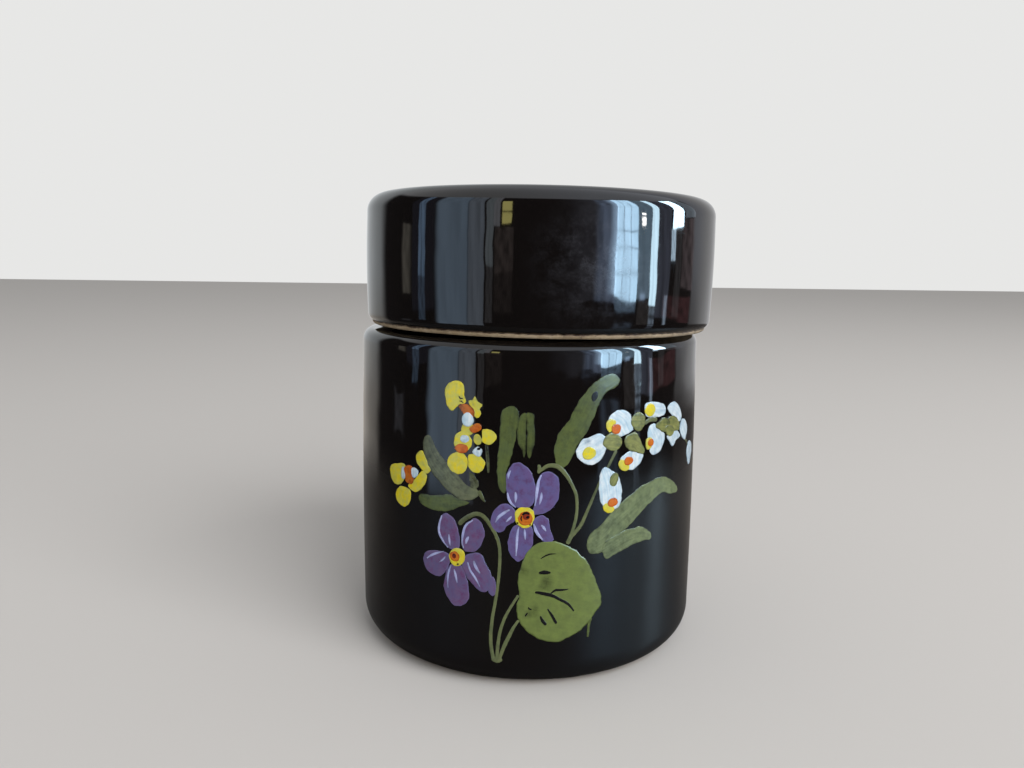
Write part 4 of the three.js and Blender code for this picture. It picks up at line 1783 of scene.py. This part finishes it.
SOFTBOXES = (
    Softbox(-98.5, -87.5, -3.8, 5, (0.80, 0.74, 0.62), 0.8, uneven=0.4, soft=(0.3, 0.4)),
    Softbox(-101.5, -88.5, -12.4, -8.5, (0.86, 0.88, 1.0), 0.28, uneven=0.5, soft=(0.3, 0.3)),
    Softbox(-88, -70, -6, 34, (0.55, 0.62, 1.0), 0.1),
    Softbox(-82.5, -77, -1.8, 34, (0.42, 0.66, 1.0), 2.4, uneven=0.7),
    Softbox(-82.5, -77, -8, -1.8, (0.42, 0.66, 1.0), 0.9, uneven=0.7),
    Softbox(-70.5, -45.4, -17, 35, (0.56, 0.76, 1.0), 1.95, uneven=0.2, soft=(0.2, 0.08)),
    Softbox(-46.4, -35.6, -17, 35, (0.68, 0.80, 0.97), 1.65, uneven=0.35, soft=(0.08, 0.0)),
    Softbox(-34.4, -30, -0.5, 35, (0.80, 0.92, 1.0), 1.4, uneven=0.3),
    Softbox(-34.4, -30, -9, -0.5, (0.85, 0.85, 0.90), 0.45, uneven=0.5),
    Softbox(-30, -26, 5.6, 35, (0.90, 0.92, 1.0), 1.5, uneven=0.3),
    Softbox(-24.8, -19.2, 6.2, 17, (1.0, 0.90, 0.30), 4.6),
    Softbox(-29, -17.5, -1.5, 5.4, (1.0, 0.80, 0.74), 0.42, uneven=0.8),
    Softbox(-29, -17.5, -7, -1.5, (1.0, 0.80, 0.74), 0.16, uneven=0.8),
    Softbox(8, 34, -6, 35, (0.75, 0.80, 1.0), 0.36, uneven=0.4, soft=(0.95, 0.0)),
    Softbox(31, 46, -6.2, 33, (0.52, 0.68, 1.0), 2.6, uneven=0.6, soft=(0.4, 0.0)),
    Softbox(39.5, 46.5, -4.6, 33, (0.50, 0.74, 1.0), 9.0, uneven=0.3, soft=(1.0, 0.0)),
    Softbox(45.6, 60.4, -5.2, 35, (0.50, 0.76, 1.0), 23.0, (3, 14), 0.25),
    Softbox(45.6, 60.4, -6.8, -5.2, (0.46, 0.70, 1.0), 3.2, (3, 2), 0.8),
    Softbox(44, 60.5, -20, -8.5, (0.50, 0.70, 1.0), 0.85, uneven=0.8, soft=(0.2, 0.3)),
    Softbox(60.4, 70.4, -4.6, 35, (0.50, 0.76, 1.0), 3.0, uneven=0.3),
    Softbox(61.5, 68, -5.0, -3.9, (0.50, 0.70, 1.0), 5.5, soft=(0.4, 0.4)),
    Softbox(62, 72, -9, -5.0, (0.95, 0.88, 0.86), 0.35, uneven=0.6),
    Softbox(62.6, 65.4, 5.27, 5.6, (1.0, 0.98, 0.94), 60.0),
    Softbox(70.4, 75.6, -6.0, 35, (0.60, 0.84, 1.0), 22.0, uneven=0.3),
    Softbox(70.8, 75.6, -10.5, -6.0, (0.60, 0.78, 1.0), 3.2, (1, 3), 0.5, bar=0.5),
    Softbox(70.8, 75.6, -20, -10.5, (0.60, 0.76, 1.0), 0.9, uneven=0.8),
    Softbox(75.6, 86.5, -7.5, 35, (0.62, 0.72, 1.0), 0.85, uneven=0.6),
    Softbox(88, 99, 4.2, 35, (0.62, 0.84, 1.0), 34.0, uneven=0.3),
    Softbox(86.6, 91.2, -0.5, 4.2, (0.62, 0.82, 1.0), 9.0, uneven=0.5),
    Softbox(82.5, 86.5, -9, -4.3, (0.62, 0.80, 1.0), 4.0, uneven=0.5, soft=(0.4, 0.4)),
    Softbox(91.4, 97.5, -7, 4.2, (0.95, 0.95, 1.0), 0.28, uneven=0.6),
    Softbox(98, 111, -3.5, 4.4, (1.0, 0.80, 0.85), 0.5, uneven=0.7),
    Softbox(82, 110, -7.3, -4.4, (1.0, 0.38, 0.42), 0.34, uneven=0.7),
    Softbox(100.5, 112, 4.6, 35, (0.72, 0.86, 1.0), 1.25, uneven=0.3),
)


@dataclass
class Studio:
    """A plain pale floor in soft light, and the camera."""

    floor_size: float = 6.0
    floor_pale: Colour = (0.61, 0.59, 0.57)
    floor_near: Colour = (0.045, 0.040, 0.037)
    floor_back: Colour = (0.130, 0.108, 0.088)
    floor_turn: Fade = (0.01, 0.12)
    floor_reach: Fade = (0.20, 0.12)  # how far from the jar the glaze mirrors the floor
    floor_roughness: float = 0.9
    mirrored_roughness: float = 0.55
    to_right: Fade = (0.0, 1.2)
    left_behind: Fade = (0.52, 0.16)
    right_behind: Fade = (0.37, 0.06)
    left_rise: Fade = (-0.09, 0.2)
    left_low: Colour = (0.56, 0.52, 0.47)
    left_high: Colour = (0.80, 0.84, 0.86)
    right_rise: Fade = (-0.05, 0.16)
    right_low: Colour = (0.41, 0.41, 0.42)
    right_high: Colour = (0.68, 0.71, 0.79)
    right_turn: Fade = (0.55, 0.3)
    right_back: Colour = (0.66, 0.66, 0.67)
    right_ground: Fade = (-0.145, 0.06)
    right_foot: Colour = (0.12, 0.11, 0.105)
    front: Colour = (0.042, 0.038, 0.038)
    ceiling_rise: Fade = (0.57, 0.09)
    left_ceiling: Colour = (0.95, 0.96, 0.98)
    right_ceiling: Colour = (1.25, 1.32, 1.45)
    plain_light: Colour = (0.52, 0.52, 0.52)
    backdrop: Colour = (0.80, 0.80, 0.79)
    key_place: tuple[float, float, float] = (0.85, -1.05, 1.0)
    key_aim: tuple[float, float, float] = (0.0, 0.0, 0.05)
    key_size: float = 1.3
    key_brightness: float = 4.9
    eye: tuple[float, float, float] = (-4.097 * MM, -196.089 * MM, 88.543 * MM)
    eye_tilt: float = math.radians(81.376)
    eye_roll: float = math.radians(0.711)
    sensor: float = 36
    lens: float = 28.125
    nearest: float = 0.01

    def build(self) -> None:
        """Sets up the floor, the world, the lights and the camera."""
        self.lay_floor()
        self.light_world()
        for number, softbox in enumerate(SOFTBOXES, 1):
            softbox.build(f"softbox_{number}")
        self.hang_key()
        self.set_camera()

    def lay_floor(self) -> None:
        """Lays the floor: pale to the eye, and a quiet round in the glaze, close to the jar."""
        bpy.ops.object.select_all(action="DESELECT")
        bpy.ops.mesh.primitive_plane_add(size=self.floor_size)
        floor = made("floor")
        material, recipe = new_material("floor")
        dull = {"Roughness": self.floor_roughness, "Specular_IOR_Level": 0.0}
        pale = recipe.principled(Base_Color=self.floor_pale, **dull)
        at = recipe.place()
        back = recipe.axis(at, "Y").above(*self.floor_turn)
        shade = recipe.mix(back, self.floor_near, self.floor_back)
        quiet = recipe.principled(Base_Color=shade, Roughness=self.mirrored_roughness)
        clear = recipe.add("ShaderNodeBsdfTransparent", {})
        beyond = recipe.distance(at, (0.0, 0.0, 0.0)).above(*self.floor_reach)
        mirrored = recipe.add("ShaderNodeMixShader", {}, beyond, quiet, clear)
        glossy = recipe.ray("Glossy")
        recipe.finish(recipe.add("ShaderNodeMixShader", {}, glossy, pale, mirrored))
        floor.data.materials.append(material)

    def light_world(self) -> None:
        """Lights the room: a plain light, and in the glaze pale walls behind and a dim front."""
        world = bpy.data.worlds.new("studio")
        bpy.context.scene.world = world
        world.use_nodes = True
        recipe = Recipe(world.node_tree)
        facing = recipe.add("ShaderNodeTexCoord", {}, out="Generated")
        x, y, z = (recipe.axis(facing, axis) for axis in "XYZ")
        on_right = x.above(*self.to_right)
        behind = y.above(*self.left_behind) * (1.0 - on_right)
        behind = behind + y.above(*self.right_behind) * on_right
        left = recipe.mix(z.above(*self.left_rise), self.left_low, self.left_high)
        near = recipe.mix(z.above(*self.right_rise), self.right_low, self.right_high)
        right = recipe.mix(y.above(*self.right_turn), near, self.right_back)
        right = recipe.mix(z.above(*self.right_ground), self.right_foot, right)
        walls = recipe.mix(on_right, left, right)
        ceiling = recipe.mix(on_right, self.left_ceiling, self.right_ceiling)
        front = recipe.mix(z.above(*self.ceiling_rise), self.front, ceiling)
        room = recipe.mix(behind, front, walls)
        colour = recipe.mix(recipe.ray("Glossy"), self.plain_light, room)
        colour = recipe.mix(recipe.ray("Camera"), colour, self.backdrop)
        background = recipe.add("ShaderNodeBackground", {}, colour, 1.0)
        recipe.finish(background, "ShaderNodeOutputWorld")

    def hang_key(self) -> None:
        """Hangs a wide soft light to the front right, which the glaze doesn't mirror."""
        place = Vector(self.key_place)
        aim = (Vector(self.key_aim) - place).to_track_quat("-Z", "Y").to_euler()
        bpy.ops.object.light_add(type="AREA", location=place, rotation=aim)
        key = made("key")
        key.visible_camera = key.visible_glossy = False
        key.data.size = self.key_size
        key.data.energy = self.key_brightness * math.pi * key.data.size**2

    def set_camera(self) -> None:
        """Puts the camera where the picture is seen from."""
        bpy.ops.object.camera_add(location=self.eye)
        camera = bpy.context.view_layer.objects.active
        tilt = Matrix.Rotation(self.eye_tilt, 3, "X") @ Matrix.Rotation(self.eye_roll, 3, "Z")
        camera.rotation_euler = tilt.to_euler()
        camera.data.sensor_width = self.sensor
        camera.data.lens = self.lens
        camera.data.clip_start = self.nearest
        bpy.context.scene.camera = camera


def main() -> None:
    """Builds the jar, its lid and its painting, and sets the studio round them."""
    logging.basicConfig(level=logging.INFO, format="%(name)s: %(message)s")
    bpy.context.scene.view_settings.view_transform = "Standard"
    Studio().build()
    clay = BuffClay().material("buff_clay")
    jar = Jar()
    jar.build(clay, BlackGlaze().material("jar_black_glaze"))
    Lid().build(clay, BlackGlaze(ripple=0.10 * MM, dust=0.28).material("lid_black_glaze"))
    brush = Brush(jar)
    for motif in SPRAY:
        brush.paint(motif.name, motif.paint, motif.marks)


if __name__ == "__main__":
    main()
